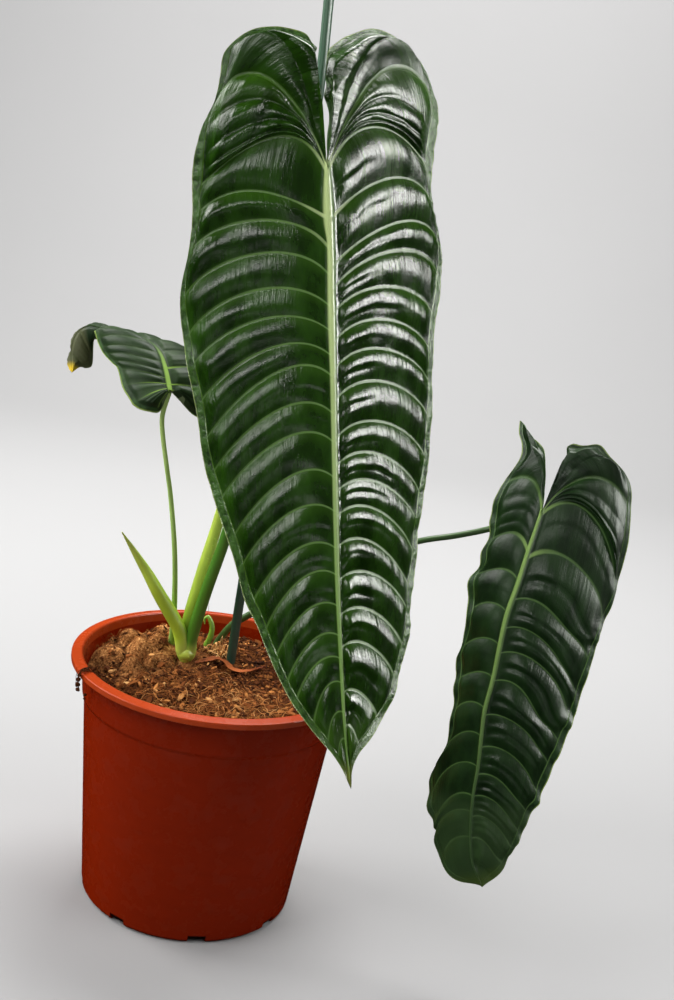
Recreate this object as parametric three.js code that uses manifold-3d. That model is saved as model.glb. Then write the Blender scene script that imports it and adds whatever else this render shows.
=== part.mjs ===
// A potted aroid house plant: a hanging king-sized leaf with a quilted blade,
// two smaller leaves, young shoots, a support stake and a plastic nursery pot.
// Millimetres, +Z up. The pot's axis is the Z axis and its base stands on z = 0.
import * as THREE from "three";
import Module from "manifold-3d";

const wasm = await Module();
wasm.setup();

// Pot
const POT_HEIGHT = 212.6;
const POT_SIDES = 64;
const BASE_RADIUS = 90.4;
const GROOVE_HEIGHT = 174.6;
const GROOVE_RADIUS = 106.2;
const BAND_FOOT = 177.4;
const BAND_RADIUS = 107.9;
const BAND_TOP_RADIUS = 111.6;
const LIP_RADIUS = 120;
const LIP_FACE = 6.4;
const LIP_DROP = 1.3;
const LIP_THICKNESS = 1.8;
const MOUTH_RADIUS = 110.4;
const WALL = 1.6;
const FLOOR = 2.6;
const DRAIN_SLOTS = 8;
const DRAIN_WIDTH = 15;
const DRAIN_HEIGHT = 7;
const DRAIN_INNER_RADIUS = 80;
const FIRST_DRAIN_ANGLE = 14;

// Gap left between pieces that touch on the real plant
const GAP = 0.35;
const SOCKET_GAP = 0.6;

// Potting mix
const MIX_LEVEL = 190;
const MIX_DIP = 4;
const MIX_MOUND = 9;
const MIX_MOUND_CENTRE = [-15, 30];
const MIX_MOUND_RADIUS = 62;
const MIX_SWELL = 1.1;
const MIX_RIPPLE = 0.7;
const MIX_RINGS = 9;
const MIX_CLUMPS = [
  // x, y, radius, height
  [-78, 42, 24, 11],
  [-52, 66, 22, 9],
  [-92, 12, 16, 6],
  [8, 82, 26, 6],
  [44, 62, 20, 5],
  [20, -48, 22, 3],
  [-46, -40, 24, 3],
  [66, -20, 20, 4],
];

// Blades
const BLADE_THICKNESS = 1.3;
const PILLOW = 0.2;
const PILLOW_COLUMNS = [0.22, 0.5, 0.78];
const FAN_ROWS = 14;
const FAN_STRAIGHT = 0.3;
const RIB_RISE = 0.8;
const RIB_KEEL = 0.9;
const FOLD_SHARES = [-1, -0.1, 0.15, 0.5, 0.8, 1];
const LOBE_HANDLE = 0.6;
const VEIN_HANDLE = 0.36;
// share of a vein's length over which the quilting rises beside the rib, and falls at the margin
const PILLOW_RISE = 0.08;
const PILLOW_FALL = 0.12;
const STEM_SIDES = 10;
const STEM_STEPS = 14;
const MIDRIB_STEPS = 400;

const LARGE = {
  midrib: [
    [34.4, -60, 625.5],
    [43.3, -64, 582.6],
    [52, -71, 536.1],
    [60.1, -79, 492.8],
    [70.1, -89, 436.9],
    [79.4, -99, 386],
    [88.8, -109, 335.7],
    [100, -121, 282.2],
    [111.1, -133, 232.5],
    [123, -146, 188.3],
  ],
  face: [
    [0.33, -0.92, 0.06],
    [0.33, -0.92, 0.16],
    [0.33, -0.92, 0.22],
    [0.31, -0.93, 0.24],
  ],
  lobeBend: 0.0012,
  ribWidth: [3.1, 2.3, 1.7, 0.7],
  pillow: PILLOW,
  ruffle: 0,
  strip: 9,
  rowPitch: 9,
  left: {
    fold: [12, 10, 10, 12, 16, 22],
    curl: 0.003,
    margin: [
      [0, 0],
      [0.6, -14],
      [0.9, -30],
      [1.3, -44],
      [1.9, -58],
      [2.9, -70],
      [3.8, -80],
      [5.3, -89.5],
      [8.2, -95.4],
      [12.4, -98],
      [19.4, -100.4],
      [28.7, -102.6],
      [44.6, -102.4],
      [57, -97],
      [68.6, -86.2],
      [72.4, -71],
      [77.4, -54.2],
      [87.4, -37.7],
      [93.8, -20.8],
      [97.9, -3.5],
      [100.2, 30.7],
      [104.6, 58.3],
      [110.8, 83],
      [112.2, 101.5],
      [110.1, 123.7],
      [106.6, 147.6],
      [101.1, 177.8],
      [97.2, 213],
      [88.9, 243],
      [76.8, 282.4],
      [70.3, 310.8],
      [61.6, 331.5],
      [53.1, 355.2],
      [40.8, 384.7],
      [27, 407],
      [12.2, 427],
      [5.2, 440],
    ],
    // where each main vein leaves the midrib, where it lands on the margin
    veins: [
      [0, -50],
      [3, 12],
      [35, 30],
      [58, 60],
      [77, 95],
      [99, 122],
      [117, 145],
      [135, 172],
      [150, 200],
      [177, 224],
      [198, 244],
      [224, 272],
      [249, 294],
      [276, 320],
      [296, 341],
      [319, 361],
      [341, 380],
      [358, 393],
      [376, 411],
      [398, 425],
    ],
    leave: [90, 70, 62, 45, 50, 50, 44, 40, 36, 32, 30],
    arrive: [90, -48, -66, -62, -60, -62, -66, -70, -76, -86, -90],
    lobeVein: [75, -60],
  },
  right: {
    fold: [12, 10, 10, 12, 16, 22],
    curl: 0.0035,
    margin: [
      [0, 0],
      [1, -10],
      [1.9, -24],
      [2.6, -38],
      [3, -50],
      [3.4, -60],
      [4.3, -70],
      [5.9, -80],
      [8.4, -85.6],
      [14, -89.8],
      [20.2, -93.8],
      [28, -97.2],
      [46.6, -103.2],
      [62.4, -102],
      [79, -95.6],
      [94.3, -84.8],
      [103.7, -71.5],
      [111.4, -56.4],
      [112.7, -44.8],
      [109.8, -27.2],
      [104.3, -8],
      [99.5, 11],
      [102.2, 29.7],
      [109.4, 45.6],
      [113.3, 63.6],
      [110.7, 84],
      [104, 110],
      [100, 141],
      [100.5, 168],
      [97.2, 198.6],
      [93.8, 227.7],
      [85.3, 260.3],
      [79.3, 294.3],
      [71, 322.3],
      [66.9, 346.4],
      [58.5, 366.7],
      [42.7, 397.4],
      [23.3, 418.2],
      [8.8, 431],
      [2.5, 442],
    ],
    veins: [
      [0, -46],
      [3, 4],
      [36, 30],
      [70, 56],
      [87, 79],
      [104, 108],
      [125, 134],
      [145, 160],
      [168, 186],
      [196, 218],
      [216, 246],
      [235, 267],
      [253, 292],
      [276, 318],
      [301, 336],
      [327, 362],
      [351, 385],
      [384, 412],
    ],
    leave: [90, 66, 58, 52, 56, 54, 50, 48, 48, 46, 40],
    arrive: [90, -52, -66, -58, -58, -62, -66, -72, -80, -88, -92],
    lobeVein: [67, -60],
  },
};

const RIGHT = {
  midrib: [
    [237.6, -40, 392.5],
    [232.3, -48.7, 361.3],
    [228.8, -54.9, 338.7],
    [223.9, -61.5, 313],
    [222.3, -67.4, 287.8],
    [221.3, -72.7, 262.7],
    [219, -77.3, 237.9],
    [220, -80.9, 216.4],
    [221.5, -84.3, 192.4],
    [221.8, -87.3, 168.1],
    [225.6, -90.9, 135.8],
    [230.5, -92.9, 115.5],
    [241.5, -95, 96.2],
  ],
  face: [
    [-0.3, -0.92, 0.2],
    [-0.32, -0.92, 0.2],
    [-0.32, -0.92, 0.15],
    [-0.25, -0.95, 0.1],
  ],
  lobeBend: 0.002,
  ribWidth: [2.4, 1.8, 1.3, 0.6],
  pillow: 0.17,
  ruffle: 1.2,
  strip: 7,
  rowPitch: 9,
  left: {
    fold: [20, 20, 20, 20, 18, 14],
    curl: 0.006,
    margin: [
      [0, 0],
      [2.4, -12],
      [5, -22],
      [8.2, -31],
      [10.4, -38],
      [13, -46],
      [16.5, -51],
      [24, -55.5],
      [34, -60],
      [46.3, -69.2],
      [52.4, -72.5],
      [48.6, -61.7],
      [40.7, -51.6],
      [37.4, -41.4],
      [40.3, -30.3],
      [45.6, -18.8],
      [47.8, 2.7],
      [46.5, 16],
      [42, 31],
      [44.2, 42],
      [42.3, 52],
      [47.5, 65.3],
      [42.9, 82.7],
      [37.5, 95],
      [38.5, 120],
      [39.7, 130],
      [35, 151],
      [32.7, 167],
      [33, 186],
      [34.8, 197],
      [38.6, 209.5],
      [45, 222.8],
      [49.3, 233.7],
      [46.6, 243],
      [41.3, 257],
      [36, 265],
      [36.2, 274.6],
      [33.2, 284.5],
      [26.6, 293],
      [16.3, 301],
    ],
    veins: [
      [0, -14],
      [32, 34],
      [56, 66],
      [82, 92],
      [108, 122],
      [134, 150],
      [159, 172],
      [181, 202],
      [206, 246],
      [230, 263],
      [243, 272],
      [264, 291],
    ],
    leave: [90, 66, 45, 38, 34, 30, 24, 14, 4, 0],
    arrive: [90, -30, -35, -60, -60, -62, -64, -70, -78, -88],
    lobeVein: [72, -40],
  },
  right: {
    fold: [10, 10, 10, 10, 10, 10],
    curl: 0.003,
    margin: [
      [0, 0],
      [0.6, -12],
      [1.2, -25],
      [2, -40],
      [3.2, -52],
      [5.5, -60],
      [12.3, -61.2],
      [18.4, -64.7],
      [26.7, -66.5],
      [36, -61],
      [42.3, -58],
      [50.3, -53.7],
      [57.5, -47],
      [62.3, -37.7],
      [65.7, -26],
      [70.9, -1.4],
      [73.1, 17.5],
      [74.6, 47],
      [73.5, 64],
      [72.8, 100],
      [69.5, 133],
      [66.6, 170],
      [58, 200],
      [52.4, 217.4],
      [51.8, 228.2],
      [45.4, 243.8],
      [41.9, 256],
      [37.9, 267],
      [32.1, 281],
      [24.5, 297],
      [13.4, 303.4],
    ],
    veins: [
      [0, -24],
      [2, 44],
      [37, 68],
      [71, 110],
      [94, 138],
      [114, 152],
      [136, 184],
      [164, 202],
      [190, 223],
      [212, 244],
      [230, 263],
      [247, 278],
      [265, 299],
    ],
    leave: [90, 70, 56, 34, 30, 26, 24, 26, 24, 20],
    arrive: [90, -64, -72, -58, -56, -56, -58, -64, -76, -90],
    lobeVein: [76, -52],
  },
};

// The small arching leaf is given by its midrib and its two margins in space.
const LEFT = {
  pillow: 0.12,
  ribWidth: [2.4, 1.8, 1.2, 0.6],
  strip: 4,
  rowPitch: 0.05,
  // direction the upper side faces along the midrib
  face: (q, along) => {
    const facing = [-0.1 - 0.7 * q, -0.8 + 0.4 * q, 0.6 + 0.2 * q * (1 - q)];
    return unit(sub(facing, scale(along, dot(facing, along))));
  },
  midrib: [
    [-66.8, 0, 435.1],
    [-73.7, 10, 449.7],
    [-79.7, 18, 458.6],
    [-88.5, 27, 464.9],
    [-103, 37, 467.4],
    [-126, 48, 466.4],
    [-147, 57, 467],
    [-157, 57, 460],
    [-160, 53, 446],
    [-155.4, 44, 427.4],
  ],
  right: {
    bulge: 0.16,
    margin: [
      [-66.8, 0, 435.1],
      [-68.7, -2, 428.6],
      [-72.1, -8, 417.7],
      [-80.4, -14, 418.1],
      [-87.6, -14, 419],
      [-94.1, -12, 422],
      [-98, -8, 425.8],
      [-104.5, 0, 430.6],
      [-113.2, 14, 443.4],
      [-118.7, 20, 445.4],
      [-129.1, 32, 450.1],
      [-136.4, 42, 456.6],
      [-141.8, 50, 463.8],
      [-143, 60, 449],
      [-142, 58, 433],
      [-146, 54, 431],
      [-150, 50, 432],
      [-155.4, 44, 427.4],
    ],
    // shares of the midrib and of the margin
    veins: [
      [0, 0.12],
      [0.03, 0.3],
      [0.12, 0.4],
      [0.22, 0.48],
      [0.34, 0.56],
      [0.46, 0.64],
      [0.6, 0.71],
      [0.74, 0.8],
      [0.88, 0.9],
    ],
  },
  left: {
    bulge: 0.08,
    margin: [
      [-66.8, 0, 435.1],
      [-58, 3, 427],
      [-46, 8, 416],
      [-35, 16, 413],
      [-27, 28, 420],
      [-27, 42, 434],
      [-38, 56, 446],
      [-58, 68, 452],
      [-84, 78, 452],
      [-112, 82, 454],
      [-138, 78, 454],
      [-152, 68, 450],
      [-158, 56, 441],
      [-155.4, 44, 427.4],
    ],
    veins: [
      [0, 0.14],
      [0.03, 0.28],
      [0.12, 0.38],
      [0.22, 0.46],
      [0.34, 0.55],
      [0.46, 0.63],
      [0.6, 0.72],
      [0.74, 0.81],
      [0.88, 0.9],
    ],
  },
};

// Stems: centre line and radius along it
const STEMS = {
  petiole_large: {
    line: [
      [-24, 31, 203],
      [-24.9, 30, 216],
      [-19.1, 26, 259.1],
      [-7.9, 18, 318],
      [2.9, 4, 397.4],
      [13.7, -14, 476.3],
      [23, -34, 548.9],
      [29.6, -48.6, 597],
      [32.4, -54.1, 618.2],
    ],
    radius: [7.4, 5.2, 4.7, 4.4, 4.2, 4, 3.9, 3.8, 3.6],
  },
  young_leaf: {
    line: [
      [-31, 40, 203],
      [-32, 40, 214],
      [-33.2, 39, 227],
      [-27, 38, 273],
      [-17.6, 35, 327],
      [-8.5, 28, 398],
      [-1, 18, 477],
      [0.5, 10, 541],
      [0.8, 6, 566],
    ],
    radius: [5.6, 5.4, 5, 4.6, 4.3, 4.4, 4, 2.2, 0.7],
  },
  new_leaf_spike: {
    line: [
      [-33, 29, 203],
      [-36, 28.4, 217],
      [-39.5, 27, 227],
      [-54.8, 20, 252.4],
      [-72.7, 10, 282.3],
      [-90.7, -5, 312.8],
    ],
    radius: [5.8, 6, 5.6, 4.4, 2.8, 0.6],
  },
  petiole_left: {
    line: [
      [-45, 52, 182],
      [-44, 47, 204],
      [-43.4, 34, 240],
      [-50, 24, 299],
      [-57, 16, 341],
      [-63.4, 8, 373],
      [-69.5, 3.5, 402],
      [-70.5, 3, 414],
      [-67.4, 2.2, 430],
    ],
    radius: [2.8, 2.8, 2.4, 2.2, 2.1, 2, 1.9, 1.9, 2],
  },
  petiole_right: {
    line: [
      [-10, 74, 180],
      [-7.6, 72, 197],
      [3.4, 66, 219.6],
      [12.4, 63, 229],
      [45, 52, 258],
      [83, 34, 291],
      [120, 14, 320],
      [149, 3, 341.8],
      [180, 6, 351.6],
      [205, 8, 360.6],
      [225, 0, 373],
      [236, -16, 386],
      [238.7, -36, 391.6],
    ],
    radius: [3.2, 3.1, 3, 2.9, 2.8, 2.7, 2.6, 2.5, 2.5, 2.5, 2.5, 2.4, 2.4],
  },
  side_shoot: {
    line: [
      [-13, 66, 184],
      [-12.6, 65, 198],
      [-9, 64, 212],
      [-11, 63.5, 223],
      [-17, 63.5, 229],
      [-15.6, 63.5, 236],
    ],
    radius: [3, 3, 2.6, 2.1, 1.4, 0.6],
  },
};

// Support stake, bowed a little
const STAKE_RADIUS = 4;
const STAKE_SIDES = 16;
const STAKE_LINE = [
  [11, 40, 60],
  [11, 40, 192],
  [13, 40, 420],
  [15, 40, 620],
  [14.4, 40, 700],
  [12.3, 40, 747],
  [10.4, 40, 792],
];

const CROWN = {
  line: [
    [-28.5, 37, 178],
    [-28.8, 36.5, 190],
    [-29.4, 35.4, 199],
    [-29.8, 34.8, 205.5],
  ],
  radius: [9, 11.5, 13, 12],
};

// Dried leaf sheath lying on the mix
const RIBBON_STEPS = 14;
const RIBBON_THICKNESS = 0.9;
const RIBBON_CUP = 0.8;
const RIBBON = {
  line: [
    [-14, 40.5, 199.9],
    [-6, 35, 203],
    [2.4, 29, 201],
    [10, 22, 198.2],
    [19.8, 18, 197.7],
    [32.4, 22, 197],
    [42, 33, 196.2],
  ],
  width: [3, 4.4, 4.6, 3.2, 3.8, 4, 1.6],
};

// Vectors as arrays
const add = (a, b) => a.map((x, i) => x + b[i]);
const sub = (a, b) => a.map((x, i) => x - b[i]);
const scale = (a, s) => a.map((x) => x * s);
const dot = (a, b) => a.reduce((s, x, i) => s + x * b[i], 0);
const size = (a) => Math.sqrt(dot(a, a));
const unit = (a) => scale(a, 1 / size(a));
const cross = (a, b) => [
  a[1] * b[2] - a[2] * b[1],
  a[2] * b[0] - a[0] * b[2],
  a[0] * b[1] - a[1] * b[0],
];
const mix = (a, b, share) => a.map((x, i) => x + (b[i] - x) * share);
const clamp = (x, low, high) => Math.min(high, Math.max(low, x));
const radians = (degrees) => (degrees * Math.PI) / 180;

// Eases from 0 to 1 between two limits.
function ease(x, from, to) {
  const s = clamp((x - from) / (to - from), 0, 1);
  return s * s * (3 - 2 * s);
}

// A smooth curve through points; each knot is its parameter, by default the share of chord length.
function curve(points, knots) {
  let at = knots;
  if (!at) {
    at = [0];
    for (let i = 1; i < points.length; i++) at.push(at[i - 1] + size(sub(points[i], points[i - 1])));
    at = at.map((x) => x / at[at.length - 1]);
  }
  const last = points.length - 1;
  const slope = (i) => {
    const a = Math.max(i - 1, 0);
    const b = Math.min(i + 1, last);
    return scale(sub(points[b], points[a]), 1 / (at[b] - at[a]));
  };
  return (x) => {
    const q = clamp(x, at[0], at[last]);
    let i = 0;
    while (i < last - 1 && q >= at[i + 1]) i++;
    const h = at[i + 1] - at[i];
    const s = (q - at[i]) / h;
    const s2 = s * s;
    const s3 = s2 * s;
    return add(
      add(scale(points[i], 2 * s3 - 3 * s2 + 1), scale(slope(i), h * (s3 - 2 * s2 + s))),
      add(scale(points[i + 1], 3 * s2 - 2 * s3), scale(slope(i + 1), h * (s3 - s2))),
    );
  };
}

// A smooth number over evenly spread knots between two limits.
function spread(values, from, to) {
  const knots = values.map((_, i) => from + ((to - from) * i) / (values.length - 1));
  const inner = curve(values.map((x) => [x]), knots);
  return (x) => inner(x)[0];
}

// Closed solid from triangles given by corner positions; corners that coincide become one.
function solid(triangles) {
  const index = new Map();
  const positions = [];
  const corner = (p) => {
    const key = p.map((x) => Math.round(x * 5000)).join();
    if (!index.has(key)) {
      index.set(key, positions.length / 3);
      positions.push(...p);
    }
    return index.get(key);
  };
  const faces = [];
  triangles.forEach((t) => {
    const [a, b, c] = t.map(corner);
    if (a !== b && b !== c && a !== c) faces.push(a, b, c);
  });
  return new wasm.Manifold(
    new wasm.Mesh({
      numProp: 3,
      vertProperties: new Float32Array(positions),
      triVerts: new Uint32Array(faces),
    }),
  );
}

// Named mesh of a solid.
function meshOf(name, made, colour, roughness) {
  const data = made.getMesh();
  const positions = new Float32Array(data.triVerts.length * 3);
  data.triVerts.forEach((v, i) => {
    for (let j = 0; j < 3; j++) positions[3 * i + j] = data.vertProperties[v * data.numProp + j];
  });
  const geometry = new THREE.BufferGeometry();
  geometry.setAttribute("position", new THREE.BufferAttribute(positions, 3));
  geometry.computeVertexNormals();
  const mesh = new THREE.Mesh(geometry, new THREE.MeshStandardMaterial({ color: colour, roughness }));
  mesh.name = name;
  return mesh;
}

// Solid between rings of equal point counts, closed at both ends; each ring runs anticlockwise
// as seen from the far end.
function loft(rings) {
  const triangles = [];
  const n = rings[0].length;
  for (let i = 1; i < rings.length; i++)
    for (let j = 0; j < n; j++) {
      const k = (j + 1) % n;
      triangles.push([rings[i - 1][j], rings[i - 1][k], rings[i][k]]);
      triangles.push([rings[i - 1][j], rings[i][k], rings[i][j]]);
    }
  const first = rings[0];
  const end = rings[rings.length - 1];
  for (let j = 1; j < n - 1; j++) {
    triangles.push([first[0], first[j + 1], first[j]]);
    triangles.push([end[0], end[j], end[j + 1]]);
  }
  return solid(triangles);
}

// Round tapered stem along a smooth centre line, grown by extra all round.
function stem(spec, extra = 0, steps = STEM_STEPS) {
  const centre = curve(spec.line);
  const radius = spread(spec.radius, 0, 1);
  const rings = [];
  let side = [1, 0, 0];
  for (let i = 0; i <= steps; i++) {
    const q = i / steps;
    const along = unit(sub(centre(q + 0.01), centre(q - 0.01)));
    side = unit(sub(side, scale(along, dot(side, along))));
    const up = cross(along, side);
    const ring = [];
    for (let j = 0; j < STEM_SIDES; j++) {
      const a = (2 * Math.PI * j) / STEM_SIDES;
      const r = radius(q) + extra;
      ring.push(add(centre(q), add(scale(side, r * Math.cos(a)), scale(up, r * Math.sin(a)))));
    }
    rings.push(ring);
  }
  return loft(rings);
}

// Height of the quilting over the sheet: an arched pillow between each two sunken veins.
function pillowHeight(k, t, gap, share, start, edge) {
  const s = k - Math.floor(k);
  const fade = ease(t, start, start + PILLOW_RISE) * (1 - ease(t, edge - PILLOW_FALL, edge));
  return share * gap * 4 * s * (1 - s) * fade;
}

// Shares of a vein's length at which its points lie: at the midrib, the rib's flank, three over
// the quilting, the vein that runs along the margin, and the margin.
function columns(start, edge) {
  return [0, start, ...PILLOW_COLUMNS.map((x) => start + x * (edge - start)), edge, 1];
}

// Midrib stations shared by both halves: every vein's origin, with more between distant ones.
function stationsOf(origins, total, widest) {
  const marks = [...new Set([0, ...origins, total])].sort((a, b) => a - b);
  const kept = marks.filter((x, i) => i === 0 || x === total || x - marks[i - 1] > widest / 5);
  const all = [];
  kept.forEach((x, i) => {
    if (i === 0) return;
    const parts = Math.ceil((x - kept[i - 1]) / widest);
    for (let j = 1; j <= parts; j++) all.push(kept[i - 1] + ((x - kept[i - 1]) * j) / parts);
  });
  return all;
}

// One closed blade from its two halves. A half gives the top and bottom points of the row with a
// vein number; rows up to number 1 fan out from the junction, later ones leave at the stations.
function joinedHalves(halves, stations) {
  const triangles = [];
  halves.forEach(({ sign, rowAt, numberAt }) => {
    const face = (a, b, c) => triangles.push(sign < 0 ? [a, c, b] : [a, b, c]);
    const quad = (a, b, c, d) => {
      face(a, b, c);
      face(a, c, d);
    };
    const numbers = [];
    for (let i = 0; i <= FAN_ROWS; i++) numbers.push(i / FAN_ROWS);
    const rows = [...numbers, ...stations.map(numberAt)].map(rowAt);
    for (let i = 1; i < rows.length; i++) {
      const [near, far] = [rows[i - 1], rows[i]];
      const last = near.top.length - 1;
      for (let j = 1; j <= last; j++) {
        quad(near.top[j - 1], far.top[j - 1], far.top[j], near.top[j]);
        face(near.bottom[j - 1], far.bottom[j], far.bottom[j - 1]);
        face(near.bottom[j - 1], near.bottom[j], far.bottom[j]);
      }
      quad(near.top[last], far.top[last], far.bottom[last], near.bottom[last]);
    }
  });
  return solid(triangles);
}

// Vein number whose origin lies at a midrib station.
function inverse(origin, count) {
  return (v) => {
    let low = 1;
    let high = count + 1;
    for (let i = 0; i < 30; i++) {
      const middle = (low + high) / 2;
      if (origin(middle)[0] < v) low = middle;
      else high = middle;
    }
    return high > count + 1 - 1e-6 ? count + 1 : high;
  };
}

// A hanging blade: a flat pattern of veins, each an arc from the midrib to the margin, laid on a
// sheet that follows the midrib, drops away at the fold angle on each side and curls on.
function hangingBlade(spec) {
  const line = curve(spec.midrib);
  const steps = MIDRIB_STEPS;
  const lengths = [0];
  for (let i = 1; i <= steps; i++)
    lengths.push(lengths[i - 1] + size(sub(line(i / steps), line((i - 1) / steps))));
  const total = lengths[steps];
  const pointAt = (v) => {
    let i = 0;
    const q = clamp(v, 0, total);
    while (i < steps - 1 && lengths[i + 1] < q) i++;
    return line((i + (q - lengths[i]) / (lengths[i + 1] - lengths[i])) / steps);
  };
  const facing = curve(spec.face, spec.face.map((_, i) => i / (spec.face.length - 1)));
  const ribWidth = spread(spec.ribWidth, 0, 1);
  const frame = (v) => {
    const on = clamp(v, 0, total);
    const along = unit(sub(pointAt(on + 2), pointAt(on - 2)));
    const face = facing(on / total);
    const out = unit(sub(face, scale(along, dot(face, along))));
    const over = -Math.min(v, 0);
    const turn = spec.lobeBend * over;
    const at = sub(
      sub(pointAt(v), scale(along, Math.sin(turn) / spec.lobeBend)),
      scale(out, (1 - Math.cos(turn)) / spec.lobeBend),
    );
    return {
      at,
      across: cross(out, along),
      out: sub(scale(out, Math.cos(turn)), scale(along, Math.sin(turn))),
    };
  };
  const half = (data, sign) => {
    const count = data.veins.length;
    const margin = curve([...data.margin, [0, total]]);
    const foldAt = curve(data.fold.map((x) => [x]), FOLD_SHARES);
    const place = (u, v, lift) => {
      const { at, across, out } = frame(v);
      const fold = radians(foldAt(v / total)[0]);
      const bend = fold + data.curl * u;
      const sideways = (Math.sin(bend) - Math.sin(fold)) / data.curl;
      const back = (Math.cos(fold) - Math.cos(bend)) / data.curl;
      const normal = add(scale(out, Math.cos(bend)), scale(across, sign * Math.sin(bend)));
      const flat = add(add(at, scale(across, sign * sideways)), scale(out, -back));
      return add(flat, scale(u > 0 ? normal : out, lift));
    };
    const reachOf = (v) => {
      let q = 1;
      while (q > 0.1 && margin(q)[1] > v) q -= 0.001;
      return q;
    };
    const knots = [...Array(count + 2).keys()];
    const origin = curve([[0], ...data.veins.map((x) => [x[0]]), [total]], knots);
    const reach = curve([[0], ...data.veins.map((x) => [reachOf(x[1])]), [1]], knots);
    const leave = spread(data.leave, 0, count + 1);
    const arrive = spread(data.arrive, 0, count + 1);
    const rowAt = (k) => {
      const from = [0, k <= 1 ? 0 : origin(k)[0]];
      const end = margin(reach(k)[0]);
      const handle = (LOBE_HANDLE + (VEIN_HANDLE - LOBE_HANDLE) * ease(k, 1, 4)) * size(sub(end, from));
      const lobe = ease(k, 0, 1) * (1 - ease(k, 1, 2));
      const a = radians(leave(k) + (data.lobeVein[0] - leave(k)) * lobe);
      const b = radians(arrive(k) + (data.lobeVein[1] - arrive(k)) * lobe);
      const c1 = add(from, [handle * Math.cos(a), -handle * Math.sin(a)]);
      // rows that run up beside the slit between the lobes arrive straight
      const straight = sub(end, scale(sub(end, from), 1 / 3));
      const bowed = sub(end, [handle * Math.cos(b), -handle * Math.sin(b)]);
      const c2 = mix(straight, bowed, ease(k, FAN_STRAIGHT, 1));
      const below = Math.floor(Math.min(k, count));
      const gapIn = (origin(below + 1)[0] - origin(below)[0]) * Math.cos(a);
      const gapOut =
        size(sub(margin(reach(below + 1)[0]), margin(reach(below)[0]))) *
        clamp(Math.cos(b), 0.35, 0.6);
      const width = ribWidth(clamp(from[1] / total, 0, 1));
      const start = Math.min(width / (3 * Math.max(handle, 1)), 0.25);
      const edge = clamp(1 - spec.strip / (3 * Math.max(handle, 1)), 0.55, 0.94);
      const point = (t, side) => {
        const r = 1 - t;
        const flat = add(
          add(scale(from, r * r * r), scale(c1, 3 * r * r * t)),
          add(scale(c2, 3 * r * t * t), scale(end, t * t * t)),
        );
        const gap = gapIn * (1 - t) + gapOut * t;
        const lift =
          pillowHeight(k, t, gap, spec.pillow, start, edge) +
          spec.ruffle * Math.sin(2 * Math.PI * k) * t * t * t;
        const raised = t === 0 ? width * (side > 0 ? RIB_RISE : RIB_KEEL) : 0;
        return place(flat[0], flat[1], lift + side * raised - (side > 0 ? 0 : BLADE_THICKNESS));
      };
      const shares = columns(start, edge);
      return { top: shares.map((t) => point(t, 1)), bottom: shares.map((t) => point(t, -1)) };
    };
    return { sign, rowAt, numberAt: inverse(origin, count) };
  };
  const origins = [...spec.left.veins, ...spec.right.veins].map((x) => x[0]);
  return joinedHalves([half(spec.left, -1), half(spec.right, 1)], stationsOf(origins, total, spec.rowPitch));
}

// The arching blade: each vein is a bulging arc from the midrib to the margin in space.
function archingBlade(spec) {
  const line = curve(spec.midrib);
  const ribWidth = spread(spec.ribWidth, 0, 1);
  const half = (data, sign) => {
    const count = data.veins.length;
    const margin = curve(data.margin);
    const knots = [...Array(count + 2).keys()];
    const origin = curve([[0], ...data.veins.map((x) => [x[0]]), [1]], knots);
    const reach = curve([[0], ...data.veins.map((x) => [x[1]]), [1]], knots);
    const rowAt = (k) => {
      const q = k <= 1 ? 0 : origin(k)[0];
      const from = line(q);
      const end = margin(reach(k)[0]);
      const along = unit(sub(line(q + 0.02), line(q - 0.02)));
      const span = sub(end, from);
      const chord = Math.max(size(span), 0.01);
      const turned = cross(along, scale(span, sign));
      const normal = scale(turned, 1 / Math.max(size(turned), 0.01));
      const face = spec.face(q, along);
      const width = ribWidth(q);
      const start = Math.min(width / chord, 0.25);
      const edge = clamp(1 - spec.strip / chord, 0.5, 0.92);
      const below = Math.floor(Math.min(k, count));
      const gap = size(sub(margin(reach(below + 1)[0]), margin(reach(below)[0]))) * 0.6;
      const point = (t, side) => {
        const lift =
          4 * data.bulge * size(span) * t * (1 - t) + pillowHeight(k, t, gap, spec.pillow, start, edge);
        const raised = t === 0 ? width * (side > 0 ? RIB_RISE : RIB_KEEL) : 0;
        const height = lift + side * raised - (side > 0 ? 0 : BLADE_THICKNESS);
        const turn = ease(t, 0, start);
        const out = unit(add(scale(face, 1 - turn), scale(chord > 1 ? normal : face, turn)));
        return add(add(from, scale(span, t)), scale(out, height));
      };
      const shares = columns(start, edge);
      return { top: shares.map((t) => point(t, 1)), bottom: shares.map((t) => point(t, -1)) };
    };
    return { sign, rowAt, numberAt: inverse(origin, count) };
  };
  const origins = [...spec.left.veins, ...spec.right.veins].map((x) => x[0]);
  return joinedHalves([half(spec.left, -1), half(spec.right, 1)], stationsOf(origins, 1, spec.rowPitch));
}

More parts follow.
